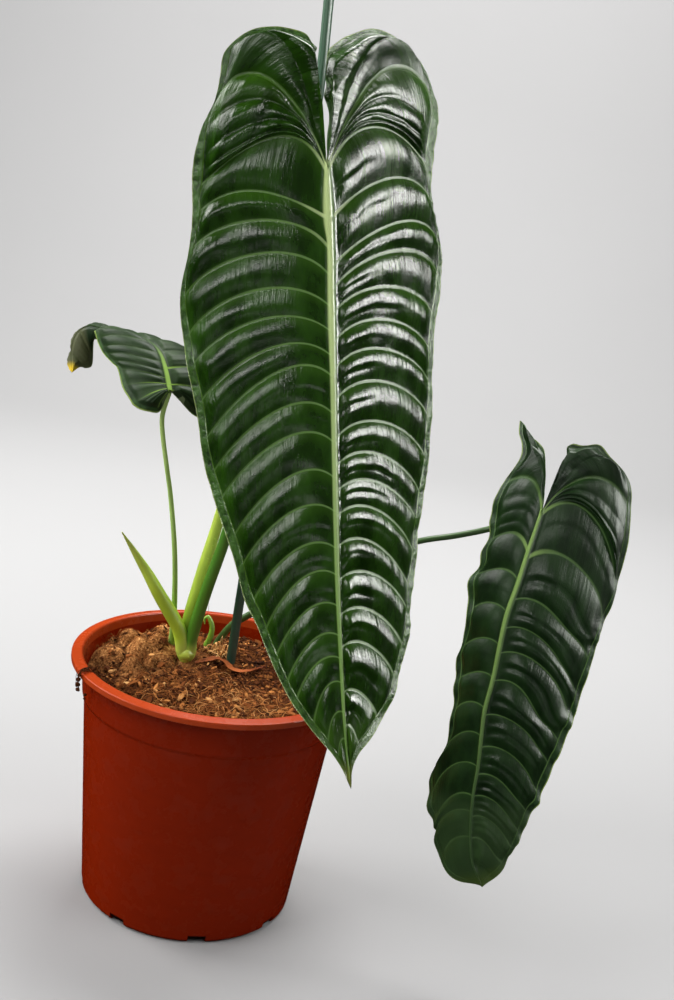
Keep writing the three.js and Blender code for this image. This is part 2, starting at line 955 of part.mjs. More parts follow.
// Pot: a turned wall with a stepped band and a rolled lip; drain slots are cut at the base corner.
function potSolid() {
  const profile = [
    [0, 0],
    [BASE_RADIUS - 2.5, 0],
    [BASE_RADIUS, 2.5],
    [GROOVE_RADIUS, GROOVE_HEIGHT],
    [BAND_RADIUS, BAND_FOOT],
    [BAND_TOP_RADIUS, POT_HEIGHT - LIP_THICKNESS - 0.5],
    [LIP_RADIUS - LIP_THICKNESS, POT_HEIGHT - LIP_DROP - LIP_THICKNESS],
    [LIP_RADIUS - LIP_THICKNESS, POT_HEIGHT - LIP_FACE],
    [LIP_RADIUS, POT_HEIGHT - LIP_FACE],
    [LIP_RADIUS, POT_HEIGHT - LIP_DROP - 0.8],
    [LIP_RADIUS - 0.9, POT_HEIGHT - LIP_DROP],
    [MOUTH_RADIUS + 1.6, POT_HEIGHT],
    [MOUTH_RADIUS, POT_HEIGHT - 1.2],
    [BAND_RADIUS - WALL, BAND_FOOT],
    [GROOVE_RADIUS - WALL, GROOVE_HEIGHT],
    [BASE_RADIUS - WALL, FLOOR],
    [0, FLOOR],
  ];
  const turned = new THREE.LatheGeometry(
    profile.map(([r, z]) => new THREE.Vector2(r, z)),
    POT_SIDES,
  ).rotateX(Math.PI / 2);
  let pot = solid(trianglesOf(turned));
  for (let i = 0; i < DRAIN_SLOTS; i++) {
    const depth = LIP_RADIUS - DRAIN_INNER_RADIUS;
    const slot = new THREE.BoxGeometry(depth, DRAIN_WIDTH, 2 * DRAIN_HEIGHT)
      .translate(DRAIN_INNER_RADIUS + depth / 2, 0, 0)
      .rotateZ(radians(FIRST_DRAIN_ANGLE + (360 * i) / DRAIN_SLOTS));
    pot = pot.subtract(solid(trianglesOf(slot)));
  }
  return pot;
}

// Corner positions of a geometry's triangles.
function trianglesOf(geometry) {
  const flat = geometry.index ? geometry.toNonIndexed() : geometry;
  const p = flat.getAttribute("position");
  const out = [];
  for (let i = 0; i < p.count; i += 3)
    out.push([0, 1, 2].map((j) => [p.getX(i + j), p.getY(i + j), p.getZ(i + j)]));
  return out;
}

// Inside radius of the pot's wall at a height.
function insideRadius(z) {
  const share = (z - BAND_FOOT) / (POT_HEIGHT - 1.2 - BAND_FOOT);
  return BAND_RADIUS - WALL + share * (MOUTH_RADIUS - BAND_RADIUS + WALL);
}

// Height of the potting mix: a low mound, clumps and a fine unevenness.
function mixHeight(x, y) {
  const [mx, my] = MIX_MOUND_CENTRE;
  const mound = MIX_MOUND * Math.exp(-((x - mx) ** 2 + (y - my) ** 2) / MIX_MOUND_RADIUS ** 2);
  const clumps = MIX_CLUMPS.reduce(
    (sum, [cx, cy, r, h]) => sum + h * Math.exp(-((x - cx) ** 2 + (y - cy) ** 2) / (r * r)),
    0,
  );
  const uneven =
    MIX_SWELL * Math.sin(x / 7.1 + 0.6 * Math.sin(y / 9)) * Math.cos(y / 8.3) +
    MIX_RIPPLE * Math.sin(x / 3.9 + y / 4.7);
  return MIX_LEVEL + mound + clumps + uneven;
}

// Potting mix: fills the pot up to its uneven top, with a hole for each thing that stands in it.
function mixSolid(holes) {
  const rings = [];
  const ringAt = (radius, height) => {
    const ring = [];
    for (let j = 0; j < POT_SIDES; j++) {
      const a = (2 * Math.PI * j) / POT_SIDES;
      const x = radius * Math.sin(a);
      const y = -radius * Math.cos(a);
      ring.push([x, y, height(x, y)]);
    }
    return ring;
  };
  const flat = (z) => () => z;
  const rim = insideRadius(MIX_LEVEL - MIX_DIP) - GAP;
  rings.push(ringAt(BASE_RADIUS - WALL - GAP - 0.1, flat(FLOOR + GAP)));
  rings.push(ringAt(GROOVE_RADIUS - WALL - 2 * GAP, flat(GROOVE_HEIGHT)));
  rings.push(ringAt(BAND_RADIUS - WALL - GAP, flat(BAND_FOOT + 1)));
  for (let i = 0; i < MIX_RINGS; i++)
    rings.push(ringAt(rim * (1 - i / MIX_RINGS), mixHeight));
  const triangles = [];
  for (let i = 1; i < rings.length; i++)
    for (let j = 0; j < POT_SIDES; j++) {
      const k = (j + 1) % POT_SIDES;
      triangles.push([rings[i - 1][j], rings[i - 1][k], rings[i][k]]);
      triangles.push([rings[i - 1][j], rings[i][k], rings[i][j]]);
    }
  const under = [0, 0, FLOOR + GAP];
  const over = [0, 0, mixHeight(0, 0)];
  const lastRing = rings[rings.length - 1];
  for (let j = 0; j < POT_SIDES; j++) {
    const k = (j + 1) % POT_SIDES;
    triangles.push([rings[0][k], rings[0][j], under]);
    triangles.push([lastRing[j], lastRing[k], over]);
  }
  return holes.reduce((filling, hole) => filling.subtract(hole), solid(triangles));
}

// Round stake, grown by extra all round.
function stake(extra = 0) {
  const rings = STAKE_LINE.map((at) => {
    const ring = [];
    for (let j = 0; j < STAKE_SIDES; j++) {
      const a = (2 * Math.PI * j) / STAKE_SIDES;
      const r = STAKE_RADIUS + extra;
      ring.push([at[0] + r * Math.cos(a), at[1] + r * Math.sin(a), at[2]]);
    }
    return ring;
  });
  return loft(rings);
}

// Thin dried ribbon along a line, flat side up.
function ribbon(spec) {
  const centre = curve(spec.line);
  const width = spread(spec.width, 0, 1);
  const rings = [];
  for (let i = 0; i <= RIBBON_STEPS; i++) {
    const q = i / RIBBON_STEPS;
    const along = unit(sub(centre(q + 0.01), centre(q - 0.01)));
    const across = unit(cross(along, [0.25 * Math.sin(5 * q), 0, 1]));
    const up = cross(across, along);
    const w = width(q);
    const corner = (a, b) => add(centre(q), add(scale(across, a), scale(up, b)));
    rings.push([
      corner(-w, RIBBON_CUP + RIBBON_THICKNESS),
      corner(0, RIBBON_THICKNESS),
      corner(w, RIBBON_CUP + RIBBON_THICKNESS),
      corner(w, RIBBON_CUP),
      corner(0, 0),
      corner(-w, RIBBON_CUP),
    ]);
  }
  return loft(rings);
}

const stems = {};
const holes = [];
Object.entries(STEMS).forEach(([name, spec]) => {
  stems[name] = stem(spec);
  holes.push(stem(spec, GAP));
});
const order = ["petiole_large", "new_leaf_spike", "young_leaf"];
order.forEach((name, i) => {
  order.slice(0, i).forEach((before) => {
    stems[name] = stems[name].subtract(stem(STEMS[before], GAP));
  });
});
const crown = order.reduce(
  (made, name) => made.subtract(stem(STEMS[name], SOCKET_GAP)),
  stem(CROWN),
);
holes.push(stem(CROWN, GAP), stake(GAP));

const plant = new THREE.Group();
plant.name = "potted_king_anthurium";
plant.add(meshOf("pot", potSolid(), 0xa33312, 0.42));
plant.add(meshOf("potting_mix", mixSolid(holes), 0x6b4426, 0.95));
plant.add(meshOf("stake", stake(), 0x2f5c4c, 0.5));
plant.add(meshOf("crown", crown, 0xa9c65a, 0.5));
Object.entries(stems).forEach(([name, made]) => plant.add(meshOf(name, made, 0x5f9a3c, 0.45)));
plant.add(meshOf("blade_large", hangingBlade(LARGE), 0x1f4a1c, 0.3));
plant.add(meshOf("blade_right", hangingBlade(RIGHT), 0x1b3d22, 0.4));
plant.add(meshOf("blade_left", archingBlade(LEFT), 0x35502c, 0.55));
plant.add(meshOf("dried_sheath", ribbon(RIBBON), 0x8a3f22, 0.8));

export default plant;
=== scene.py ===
"""Potted aroid house plant: quilted hanging blades, young shoots, a stake, bark mix and a nursery pot.

Every surface is worked out with numpy from the plant's own measures, in millimetres in the pot's frame
(+Z up, the pot's axis is Z, its base stands on z = 0), and put into the meshes in metres.
"""

import math

import bpy
import numpy as np
from mathutils import Matrix, Vector


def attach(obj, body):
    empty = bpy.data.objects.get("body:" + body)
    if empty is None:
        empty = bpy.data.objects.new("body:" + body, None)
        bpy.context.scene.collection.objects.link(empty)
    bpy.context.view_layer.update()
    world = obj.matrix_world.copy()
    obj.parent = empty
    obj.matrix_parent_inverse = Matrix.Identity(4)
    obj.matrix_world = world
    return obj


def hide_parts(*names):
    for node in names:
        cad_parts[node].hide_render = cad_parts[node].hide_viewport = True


bl_info = {
    "name": "Potted aroid house plant",
    "version": (1, 0, 0),
    "blender": (4, 5, 0),
    "location": "View3D > Sidebar > House plant",
    "description": "Builds a potted aroid with quilted hanging leaves",
    "category": "Add Mesh",
}

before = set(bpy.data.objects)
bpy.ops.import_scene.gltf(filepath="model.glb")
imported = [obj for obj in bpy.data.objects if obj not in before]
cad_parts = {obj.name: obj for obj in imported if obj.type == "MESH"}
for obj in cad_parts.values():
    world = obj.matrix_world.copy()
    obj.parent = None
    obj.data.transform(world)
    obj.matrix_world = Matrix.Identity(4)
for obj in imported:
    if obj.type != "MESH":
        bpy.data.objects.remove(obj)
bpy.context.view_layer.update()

MM = 0.001
ROOT = "root"

# Camera: place, pitch and roll in degrees, focal length and sensor
CAMERA_AT = (78.97, -1088.51, 660.6)
CAMERA_PITCH = 15.097
CAMERA_ROLL = -9.057
CAMERA_LENS = 50.0
CAMERA_SENSOR = 36.0

# Pot: radii and heights of its profile, where the lip's painted light starts, the slots in its base
# corner, the angle past which an edge is sharp, and the wall's extra rows
POT_HEIGHT = 212.6
BASE_RADIUS = 90.4
BASE_CORNER = 2.5
GROOVE_HEIGHT = 174.6
GROOVE_RADIUS = 106.2
BAND_FOOT = 177.4
BAND_RADIUS = 107.9
BAND_TOP_RADIUS = 111.6
LIP_RADIUS = 120.0
LIP_FACE = 6.4
LIP_DROP = 1.3
LIP_THICKNESS = 1.8
LIP_INSET = 1.6
LIP_PAINTED_LIGHT_FROM = 204.0
LIP_PAINTED_LIGHT_FULL = 205.0
MOUTH_RADIUS = 110.4
MOUTH_CORNER = 1.2
WALL = 1.6
FLOOR = 2.6
DRAIN_SLOTS = 8
DRAIN_WIDTH = 15.0
DRAIN_HEIGHT = 7.0
DRAIN_INNER_RADIUS = 80.0
FIRST_DRAIN_ANGLE = 14.0
SHARP_ANGLE = 35
WALL_ROWS = (8.0, 14.0, 24.0, 60.0, 110.0, 150.0)

# Potting mix: level, gap to the pot, grid, mound, clumps (x, y, radius, height), swell, ripple and crumbs
MIX_LEVEL = 190.0
MIX_GAP = 0.35
FILLING_SIDES = 300
FILLING_RINGS = 150
MIX_MOUND = 9.0
MIX_MOUND_CENTRE = (-15.0, 30.0)
MIX_MOUND_RADIUS = 62.0
MIX_CLUMPS = (
    (-78, 42, 24, 11),
    (-52, 66, 22, 9),
    (-92, 12, 16, 6),
    (8, 82, 26, 6),
    (44, 62, 20, 5),
    (20, -48, 22, 3),
    (-46, -40, 24, 3),
    (66, -20, 20, 4),
    (-29, 17, 12, -4.5),
)
SWELL_HEIGHT, SWELL_X, SWELL_Y, SWELL_SWAY = 1.1, 7.1, 8.3, 9.0
RIPPLE_HEIGHT, RIPPLE_X, RIPPLE_Y = 0.7, 3.9, 4.7
CRUMB_HEIGHT, CRUMB_DEPTH, CRUMB_GRAIN = 2.4, 0.9, 5.0

# Crumbly clods at the back left
CLOD_CENTRE = (-72.0, 36.0)
CLOD_SPREAD = 50.0
CLOD_HEIGHT = 13.0
CLOD_GRAIN = 14.0

# Bark bits: mean and spread of their lengths' logarithm, limits, shares of width and thickness, and tilt
BIT_LENGTH = (1.2, 0.5)
BIT_LIMITS = (1.6, 10)
BIT_WIDTH = (0.25, 0.7)
BIT_THICKNESS = (0.1, 0.3)
BIT_THICK_LIMITS = (0.5, 2)
BIT_JAG = (0.65, 1.2)
BIT_TILT = 0.42

# Where the stems and the stake stand in the mix, and how far round them no bit lies
STANDING = (
    ((-29.8, 34.8), 12.5),
    ((11.2, 40.0), 4.5),
    ((-44.4, 48.0), 3.0),
    ((-8.0, 72.0), 3.4),
    ((-12.6, 65.0), 3.2),
)

# Fibres: one in how many of all, then spread, centre, length, rise, thickness and tone
FIBRE_GROUPS = (
    (4, 48, (0, -10), 12, 1.4, 0.18, 0.45),
    (4, 36, (0, -50), 12, 1.8, 0.2, 0.6),
    (10, 26, (-2, -58), 15, 3.0, 0.22, 0.85),
    (8, 26, (-66, 40), 8, 1.2, 0.18, 0.65),
    (14, 20, (40, -40), 15, 2.6, 0.22, 0.85),
)
FRAYED_FIBRES = 64
FRAYED_CLUMP = (3.8, (-2, 49), 5, 4.2, 0.8, 0.99)

# Blades: grid steps and pitches, the shapes of rib, veins, pillows and strip, and where along the rib the
# fold angles stand
PILLOW_COLUMNS = 40
PILLOW_CROWDING = 1.15
RIB_COLUMNS = (0, 0.3, 0.6, 0.85, 1)
RIB_MOST = 0.25
RIB_ROUNDING = 1.2
RIB_RISE = 0.42
RIB_KEEL = 0.45
FOLD_SHARES = (-1, -0.1, 0.15, 0.5, 0.8, 1)
LOBE_HANDLE = 0.6
VEIN_HANDLE = 0.36
FAN_STRAIGHT = 0.3
FAN_ROWS = 70
BLADE_THICKNESS = 0.9
NICK_DEPTH = 14.0
CREST = 1.7
JUNCTION_SPAN = 5.0
JUNCTION_ROWS = 40
FINE_PITCH = 1.7
FINER_PITCH = 1.4
LEFT_PITCH = 0.009
SIDES = ((-1.0, "left"), (1.0, "right"))
EDGE_FADE = 0.12
EDGE_LIMITS = (0.55, 0.94)
STRIP_NARROWING = 0.45
GAP_SLANT = (0.35, 0.6)
TIP_CALM = (6, 40)
THIN_MARGIN = 2.5
THINNING = 0.75
LOBE_RIDGES = (3, 4)
DEEP_GAP = 14.0
CREASE_DRAWS = ("depth", "reach", "place")

# Wrinkles of the hanging blades: the least and the random part of a crease's depth, reach and place, its
# sway (height, length, seed), width, where it starts and how it ends, then ripples (height, length, rows,
# shift, seed), folds of the two lobe cells, and waves of the margin (height, length, column, seed, start)
LARGE_WRINKLES = {
    "reach": (0.45, 0.4),
    "place": (0.42, 0.2),
    "width": 0.09,
    "starts": (0.03, 0.1),
    "ends": 0.3,
    "deepest": 1.2,
    "pleats": 0,
    "waves": ((1.7, 15, 3.5, 21, 0.72), (0.7, 4.2, 5.5, 23, 0.9)),
}
RIGHT_WRINKLES = {
    "draw": 37,
    "reach": (0.93, 0),
    "place": (0.44, 0.12),
    "sway": (0.04, 12, 35),
    "width": 0.1,
    "starts": (0.05, 0.2),
    "ends": 0.18,
    "deepest": 1.3,
    "fold_seed": 41,
    "waves": ((2, 10, 3.5, 27, 0.66),),
}

# The hanging blades, in millimetres and degrees, with lengths down from the junction. A margin is a list
# of (out from the rib, down), and a vein is (where it leaves the rib, where it meets the margin)
LARGE = {
    "midrib": (
        (34.4, -60, 625.5), (43.3, -64, 582.6), (52, -71, 536.1), (60.1, -79, 492.8),
        (70.1, -89, 436.9), (79.4, -99, 386), (88.8, -109, 335.7), (100, -121, 282.2),
        (111.1, -133, 232.5), (123, -146, 188.3),
    ),
    "face": (
        (0.33, -0.92, 0.06), (0.33, -0.92, 0.16), (0.33, -0.92, 0.22), (0.31, -0.93, 0.24),
    ),
    "lobeBend": 0.0012,
    "widestGap": 40,
    "ribWidth": (7.6, 5.4, 3.4, 1.4),
    "lobePillow": -0.3,
    "ruffle": 0,
    "strip": 9,
    "left": {
        "wrinkles": {
            **LARGE_WRINKLES,
            "draw": 5,
            "depth": (0, 0.5),
            "sway": (0.06, 14, 8),
            "ripples": ((0.32, 5.5, 1.6, 40, 5), (0.16, 2.6, 2.2, 9, 7), (1, 24, 0.9, 7, 6)),
            "fold_seed": 5,
            "folds": (1.6, 3),
        },
        "rise": 0.55,
        "pillow": 0.27,
        "sag": 0,
        "fold": (12, 10, 10, 12, 16, 22),
        "curl": 0.003,
        "margin": (
            (0, 0), (0.6, -14), (0.9, -30), (1.3, -44), (1.9, -58), (2.9, -70), (3.8, -80),
            (5.3, -89.5), (8.2, -95.4), (12.4, -98), (19.4, -100.4), (28.7, -102.6),
            (44.6, -102.4), (57, -97), (68.6, -86.2), (72.4, -71), (77.4, -54.2), (87.4, -37.7),
            (93.8, -20.8), (97.9, -3.5), (100.2, 30.7), (104.6, 58.3), (110.8, 83), (112.2, 101.5),
            (110.1, 123.7), (106.6, 147.6), (101.1, 177.8), (97.2, 213), (88.9, 243),
            (76.8, 282.4), (70.3, 310.8), (61.6, 331.5), (53.1, 355.2), (40.8, 384.7), (27, 407),
            (12.2, 427), (5.2, 440),
        ),
        "veins": (
            (0, -50), (3, 12), (35, 30), (58, 60), (77, 95), (99, 122), (117, 145), (135, 172),
            (150, 200), (177, 224), (198, 244), (224, 272), (249, 294), (276, 320), (296, 341),
            (319, 361), (341, 380), (358, 393), (376, 411), (398, 425), (418, 437),
        ),
        "leave": (90, 70, 62, 45, 50, 50, 44, 40, 36, 32, 30),
        "arrive": (90, -48, -66, -62, -60, -62, -66, -70, -76, -86, -90),
        "bows": ((1, 75, -60), (3, 34, -46)),
        "nicks": ((-77, 5, 4.4), (-85, 2.6, -3.4)),
    },
    "right": {
        "wrinkles": {
            **LARGE_WRINKLES,
            "draw": 11,
            "depth": (0.6, 1.2),
            "sway": (0.06, 14, 14),
            "ripples": ((0.6, 5.5, 1.6, 40, 11), (0.3, 2.6, 2.2, 9, 13), (1, 24, 0.9, 7, 12)),
            "fold_seed": 11,
            "folds": (1.6, 2),
        },
        "rise": 0.08,
        "pillow": 0.23,
        "sag": 0.3,
        "fold": (12, 10, 10, 12, 12, 6),
        "curl": 0.0035,
        "margin": (
            (0, 0), (1, -10), (1.9, -24), (2.6, -38), (3, -50), (3.4, -60), (4.3, -70), (5.9, -80),
            (8.4, -85.6), (14, -89.8), (20.2, -93.8), (28, -97.2), (46.6, -103.2), (62.4, -102),
            (79, -95.6), (94.3, -84.8), (103.7, -71.5), (111.4, -56.4), (112.7, -44.8),
            (109.8, -27.2), (104.3, -8), (99.5, 11), (102.2, 29.7), (109.4, 45.6), (113.3, 63.6),
            (110.7, 84), (104, 110), (100, 141), (100.5, 168), (97.2, 198.6), (93.8, 227.7),
            (85.3, 260.3), (79.3, 294.3), (71, 322.3), (66.9, 346.4), (58.5, 366.7), (42.7, 397.4),
            (23.3, 418.2), (8.8, 431), (2.5, 442),
        ),
        "veins": (
            (0, -46), (3, 4), (36, 30), (70, 56), (87, 79), (104, 108), (125, 134), (145, 160),
            (168, 186), (196, 218), (216, 246), (235, 267), (253, 292), (276, 318), (301, 336),
            (327, 362), (351, 385), (384, 412), (409, 430),
        ),
        "leave": (90, 66, 58, 52, 56, 54, 50, 48, 48, 46, 40),
        "arrive": (90, -52, -66, -58, -58, -62, -66, -72, -80, -88, -92),
        "bows": ((1, 67, -60), (3, 46, -64), (4, 48, -60)),
        "nicks": ((-37, 8, 2.6), (-52, 4, -2.0), (-60, 2.4, 1.6)),
    },
}

RIGHT = {
    "midrib": (
        (237.6, -40, 392.5), (232.3, -48.7, 361.3), (228.8, -54.9, 338.7), (223.9, -61.5, 313),
        (222.3, -67.4, 287.8), (221.3, -72.7, 262.7), (219, -77.3, 237.9), (220, -80.9, 216.4),
        (221.5, -84.3, 192.4), (221.8, -87.3, 168.1), (225.6, -90.9, 135.8), (230.5, -92.9, 115.5),
        (241.5, -95, 96.2),
    ),
    "face": (
        (-0.3, -0.92, 0.2), (-0.32, -0.92, 0.2), (-0.32, -0.92, 0.15), (-0.25, -0.95, 0.1),
    ),
    "lobeBend": 0.002,
    "widestGap": 28,
    "ribWidth": (5.2, 3.4, 2.2, 0.9),
    "lobePillow": -0.2,
    "ruffle": 1.2,
    "strip": 7,
    "left": {
        "wrinkles": {
            **RIGHT_WRINKLES,
            "depth": (0.075, 0.105),
            "ripples": ((0.1, 6, 1.8, 20, 31),),
            "pleats": 0,
            "folds": (0.8, 0.8),
        },
        "rise": 0.3,
        "pillow": 0.12,
        "sag": 0,
        "fold": (20, 20, 20, 20, 18, 14),
        "curl": 0.006,
        "margin": (
            (0, 0), (2.4, -12), (5, -22), (8.2, -31), (10.4, -38), (13, -46), (16.5, -51),
            (24, -55.5), (34, -60), (46.3, -69.2), (52.4, -72.5), (48.6, -61.7), (40.7, -51.6),
            (37.4, -41.4), (40.3, -30.3), (45.6, -18.8), (47.8, 2.7), (46.5, 16), (42, 31),
            (44.2, 42), (42.3, 52), (47.5, 65.3), (42.9, 82.7), (37.5, 95), (38.5, 120),
            (39.7, 130), (35, 151), (32.7, 167), (33, 186), (34.8, 197), (38.6, 209.5),
            (45, 222.8), (49.3, 233.7), (46.6, 243), (41.3, 257), (36, 265), (36.2, 274.6),
            (33.2, 284.5), (26.6, 293), (16.3, 301),
        ),
        "veins": (
            (0, -14), (32, 34), (56, 66), (82, 92), (108, 122), (134, 150), (159, 172), (181, 202),
            (206, 246), (230, 263), (243, 272), (264, 291),
        ),
        "leave": (90, 66, 45, 38, 34, 30, 24, 14, 4, 0),
        "arrive": (90, -30, -35, -60, -60, -62, -64, -70, -78, -88),
        "bows": ((1, 72, -40),),
        "nicks": ((-30, 8, -1.5),),
    },
    "right": {
        "wrinkles": {
            **RIGHT_WRINKLES,
            "depth": (0.65, 0.91),
            "ripples": ((0.25, 6, 1.8, 20, 31),),
            "pleats": 0.3,
            "folds": (1.4, 1.4),
        },
        "rise": 0.3,
        "pillow": 0.2,
        "sag": -0.3,
        "fold": (10, 10, 10, 10, 10, 10),
        "curl": 0.003,
        "margin": (
            (0, 0), (0.6, -12), (1.2, -25), (2, -40), (3.2, -52), (5.5, -60), (12.3, -61.2),
            (18.4, -64.7), (26.7, -66.5), (36, -61), (42.3, -58), (50.3, -53.7), (57.5, -47),
            (62.3, -37.7), (65.7, -26), (70.9, -1.4), (73.1, 17.5), (74.6, 47), (73.5, 64),
            (72.8, 100), (69.5, 133), (66.6, 170), (58, 200), (52.4, 217.4), (51.8, 228.2),
            (45.4, 243.8), (41.9, 256), (37.9, 267), (32.1, 281), (24.5, 297), (13.4, 303.4),
        ),
        "veins": (
            (0, -24), (2, 44), (37, 68), (71, 110), (94, 138), (114, 152), (136, 184), (164, 202),
            (190, 223), (212, 244), (230, 263), (247, 278), (265, 299),
        ),
        "leave": (90, 70, 56, 34, 30, 26, 24, 26, 24, 20),
        "arrive": (90, -64, -72, -58, -56, -56, -58, -64, -76, -90),
        "bows": ((1, 76, -52),),
        "nicks": ((-49, 3, 1.5), (-56, 2.5, -1.6), (-64, 2.5, 2.0)),
    },
}

# The arching blade: points in space, and its veins by their shares of the rib and of the margin
LEFT = {
    "pillow": 0.2,
    "pleats": 0.22,
    "rise": 0.08,
    "edge": (0.5, 0.92),
    "thinning": 0.7,
    "ribWidth": (3.0, 1.7, 0.8, 0.4),
    "strip": 4,
    "midrib": (
        (-66.8, 0, 435.1), (-73.7, 10, 449.7), (-79.7, 18, 458.6), (-88.5, 27, 464.9),
        (-103, 37, 467.4), (-126, 48, 466.4), (-147, 57, 467), (-157, 57, 460), (-160, 53, 446),
        (-155.4, 44, 427.4),
    ),
    "right": {
        "bulge": 0.16,
        "margin": (
            (-66.8, 0, 435.1), (-68.7, -2, 428.6), (-72.1, -8, 417.7), (-80.4, -14, 418.1),
            (-87.6, -14, 419), (-94.1, -12, 422), (-98, -8, 425.8), (-104.5, 0, 430.6),
            (-113.2, 14, 443.4), (-118.7, 20, 445.4), (-129.1, 32, 450.1), (-136.4, 42, 456.6),
            (-141.8, 50, 463.8), (-143, 60, 449), (-142, 58, 433), (-146, 54, 431),
            (-150, 50, 432), (-155.4, 44, 427.4),
        ),
        "veins": (
            (0, 0.12), (0.01, 0.23), (0.03, 0.34), (0.06, 0.43), (0.1, 0.5), (0.15, 0.56),
            (0.21, 0.61), (0.29, 0.66), (0.4, 0.7), (0.6, 0.77), (0.76, 0.85), (0.9, 0.93),
        ),
    },
    "left": {
        "bulge": 0.08,
        "margin": (
            (-66.8, 0, 435.1), (-58, 3, 427), (-46, 8, 416), (-35, 16, 413), (-27, 28, 420),
            (-27, 42, 434), (-38, 56, 446), (-58, 68, 452), (-84, 78, 452), (-112, 82, 454),
            (-138, 78, 454), (-152, 68, 450), (-158, 56, 441), (-155.4, 44, 427.4),
        ),
        "veins": (
            (0, 0.14), (0.03, 0.28), (0.12, 0.38), (0.22, 0.46), (0.34, 0.55), (0.46, 0.63),
            (0.6, 0.72), (0.74, 0.81), (0.88, 0.9),
        ),
    },
}

# Stems: how much thinner a foot is, and the height of the slow waves along them
FOOT_TAPER = 2.8
STEM_WAVE = 0.12

# Stems and shoots: a line of points from foot to tip, radii spread evenly along it, slot, colours of foot,
# middle and tip, and the shares of the length over which the foot tapers and the crown's pale collar fades
STEMS = {
    "petiole_large": {
        "line": (
            (-27.8, 31.8, 195.5), (-26, 31, 204), (-26.2, 30, 216), (-19.2, 26, 259.1), (-7.4, 18, 318),
            (2.9, 4, 397.4), (13.7, -14, 476.3), (23, -34, 548.9), (29.6, -48.6, 597),
            (32.4, -54.1, 618.2),
        ),
        "radius": (5.6, 5.2, 4.8, 4.5, 4.2, 4, 3.9, 3.8, 3.6),
        "slot": "petiole_dark",
        "colours": ((0.075, 0.22, 0.014), (0.04, 0.135, 0.009), (0.11, 0.23, 0.035)),
        "taper": 0.022,
        "collar": 0.05,
    },
    "petiole_right": {
        "line": (
            (-10, 74, 180), (-7.6, 72, 197), (3.4, 66, 219.6), (12.4, 63, 229), (45, 52, 258),
            (83, 34, 291), (120, 14, 320), (149, 3, 341.8), (180, 6, 351.6), (205, 8, 360.6),
            (225, 0, 373), (236, -16, 386), (238.7, -36, 391.6),
        ),
        "radius": (3.2, 3.1, 3, 2.9, 2.8, 2.7, 2.6, 2.5, 2.5, 2.5, 2.5, 2.4, 2.4),
        "slot": "petiole_dark",
        "colours": ((0.06, 0.13, 0.03), (0.022, 0.06, 0.01), (0.05, 0.12, 0.02)),
    },
    "young_leaf": {
        "line": (
            (-29.4, 35, 195.5), (-30, 38, 204), (-30.4, 39, 214), (-31.6, 38.5, 227), (-25.4, 38, 273),
            (-16.6, 35, 327), (-8.5, 28, 398), (-1, 18, 477), (0.5, 10, 541), (0.8, 6, 566),
        ),
        "radius": (5.6, 5.4, 5, 4.6, 4.3, 4.4, 4, 2.2, 0.7),
        "slot": "young_green",
        "colours": ((0.3, 0.44, 0.03), (0.46, 0.6, 0.075), (0.38, 0.52, 0.07)),
        "taper": 0.026,
    },
    "new_leaf_spike": {
        "line": (
            (-30, 31.2, 195.5), (-32.2, 29.8, 204), (-35, 28.6, 217), (-39, 27, 227),
            (-54.8, 20, 252.4), (-72.7, 10, 282.3), (-90.7, -5, 312.8),
        ),
        "radius": (5.8, 6.0, 5.9, 4.9, 3.0, 0.5),
        "slot": "young_green",
        "colours": ((0.38, 0.56, 0.03), (0.4, 0.58, 0.04), (0.4, 0.44, 0.08)),
        "taper": 0.07,
        "collar": 0.2,
    },
    "petiole_left": {
        "line": (
            (-45, 52, 182), (-44.6, 47, 204), (-44.4, 34, 240), (-50, 24, 299), (-57, 16, 341),
            (-63.4, 8, 373), (-69.5, 3.5, 402), (-70.5, 3, 414), (-67.1, 1.3, 433),
        ),
        "radius": (2.8, 2.8, 2.4, 2.2, 2.1, 2, 1.9, 1.9, 2),
        "slot": "petiole_light",
        "colours": ((0.2, 0.38, 0.06), (0.3, 0.48, 0.11), (0.38, 0.52, 0.15)),
    },
    "side_shoot": {
        "line": (
            (-15, 65, 184), (-15.4, 64, 198), (-12.4, 63.5, 209), (-12.6, 63, 218), (-16.6, 63, 226),
            (-19.6, 63, 224), (-19.2, 63, 219),
        ),
        "radius": (2.6, 2.9, 2.5, 2.3, 1.8, 0.6),
        "slot": "petiole_light",
        "colours": ((0.09, 0.18, 0.016), (0.17, 0.34, 0.03), (0.26, 0.42, 0.06)),
    },
}

CROWN = {
    "line": (
        (-28, 34, 176), (-28.2, 33.6, 186), (-28.6, 32.6, 195), (-29.2, 31.6, 204), (-29.6, 31, 211),
    ),
    "radius": (3.4, 3.4, 3.6, 4.0, 5.0, 7.0, 8.6, 7.2, 2.5),
}

SHEATH = {
    "line": (
        (-19, 19.5, 198.6), (-12, 22, 200.6), (-3, 27, 202.2), (5.5, 24, 201.8),
        (13.5, 15.5, 199.6), (24, 17, 199), (40, 36, 198),
    ),
    "width": (1.4, 2.6, 3.4, 4.0, 2.6, 3.8, 1.6),
}

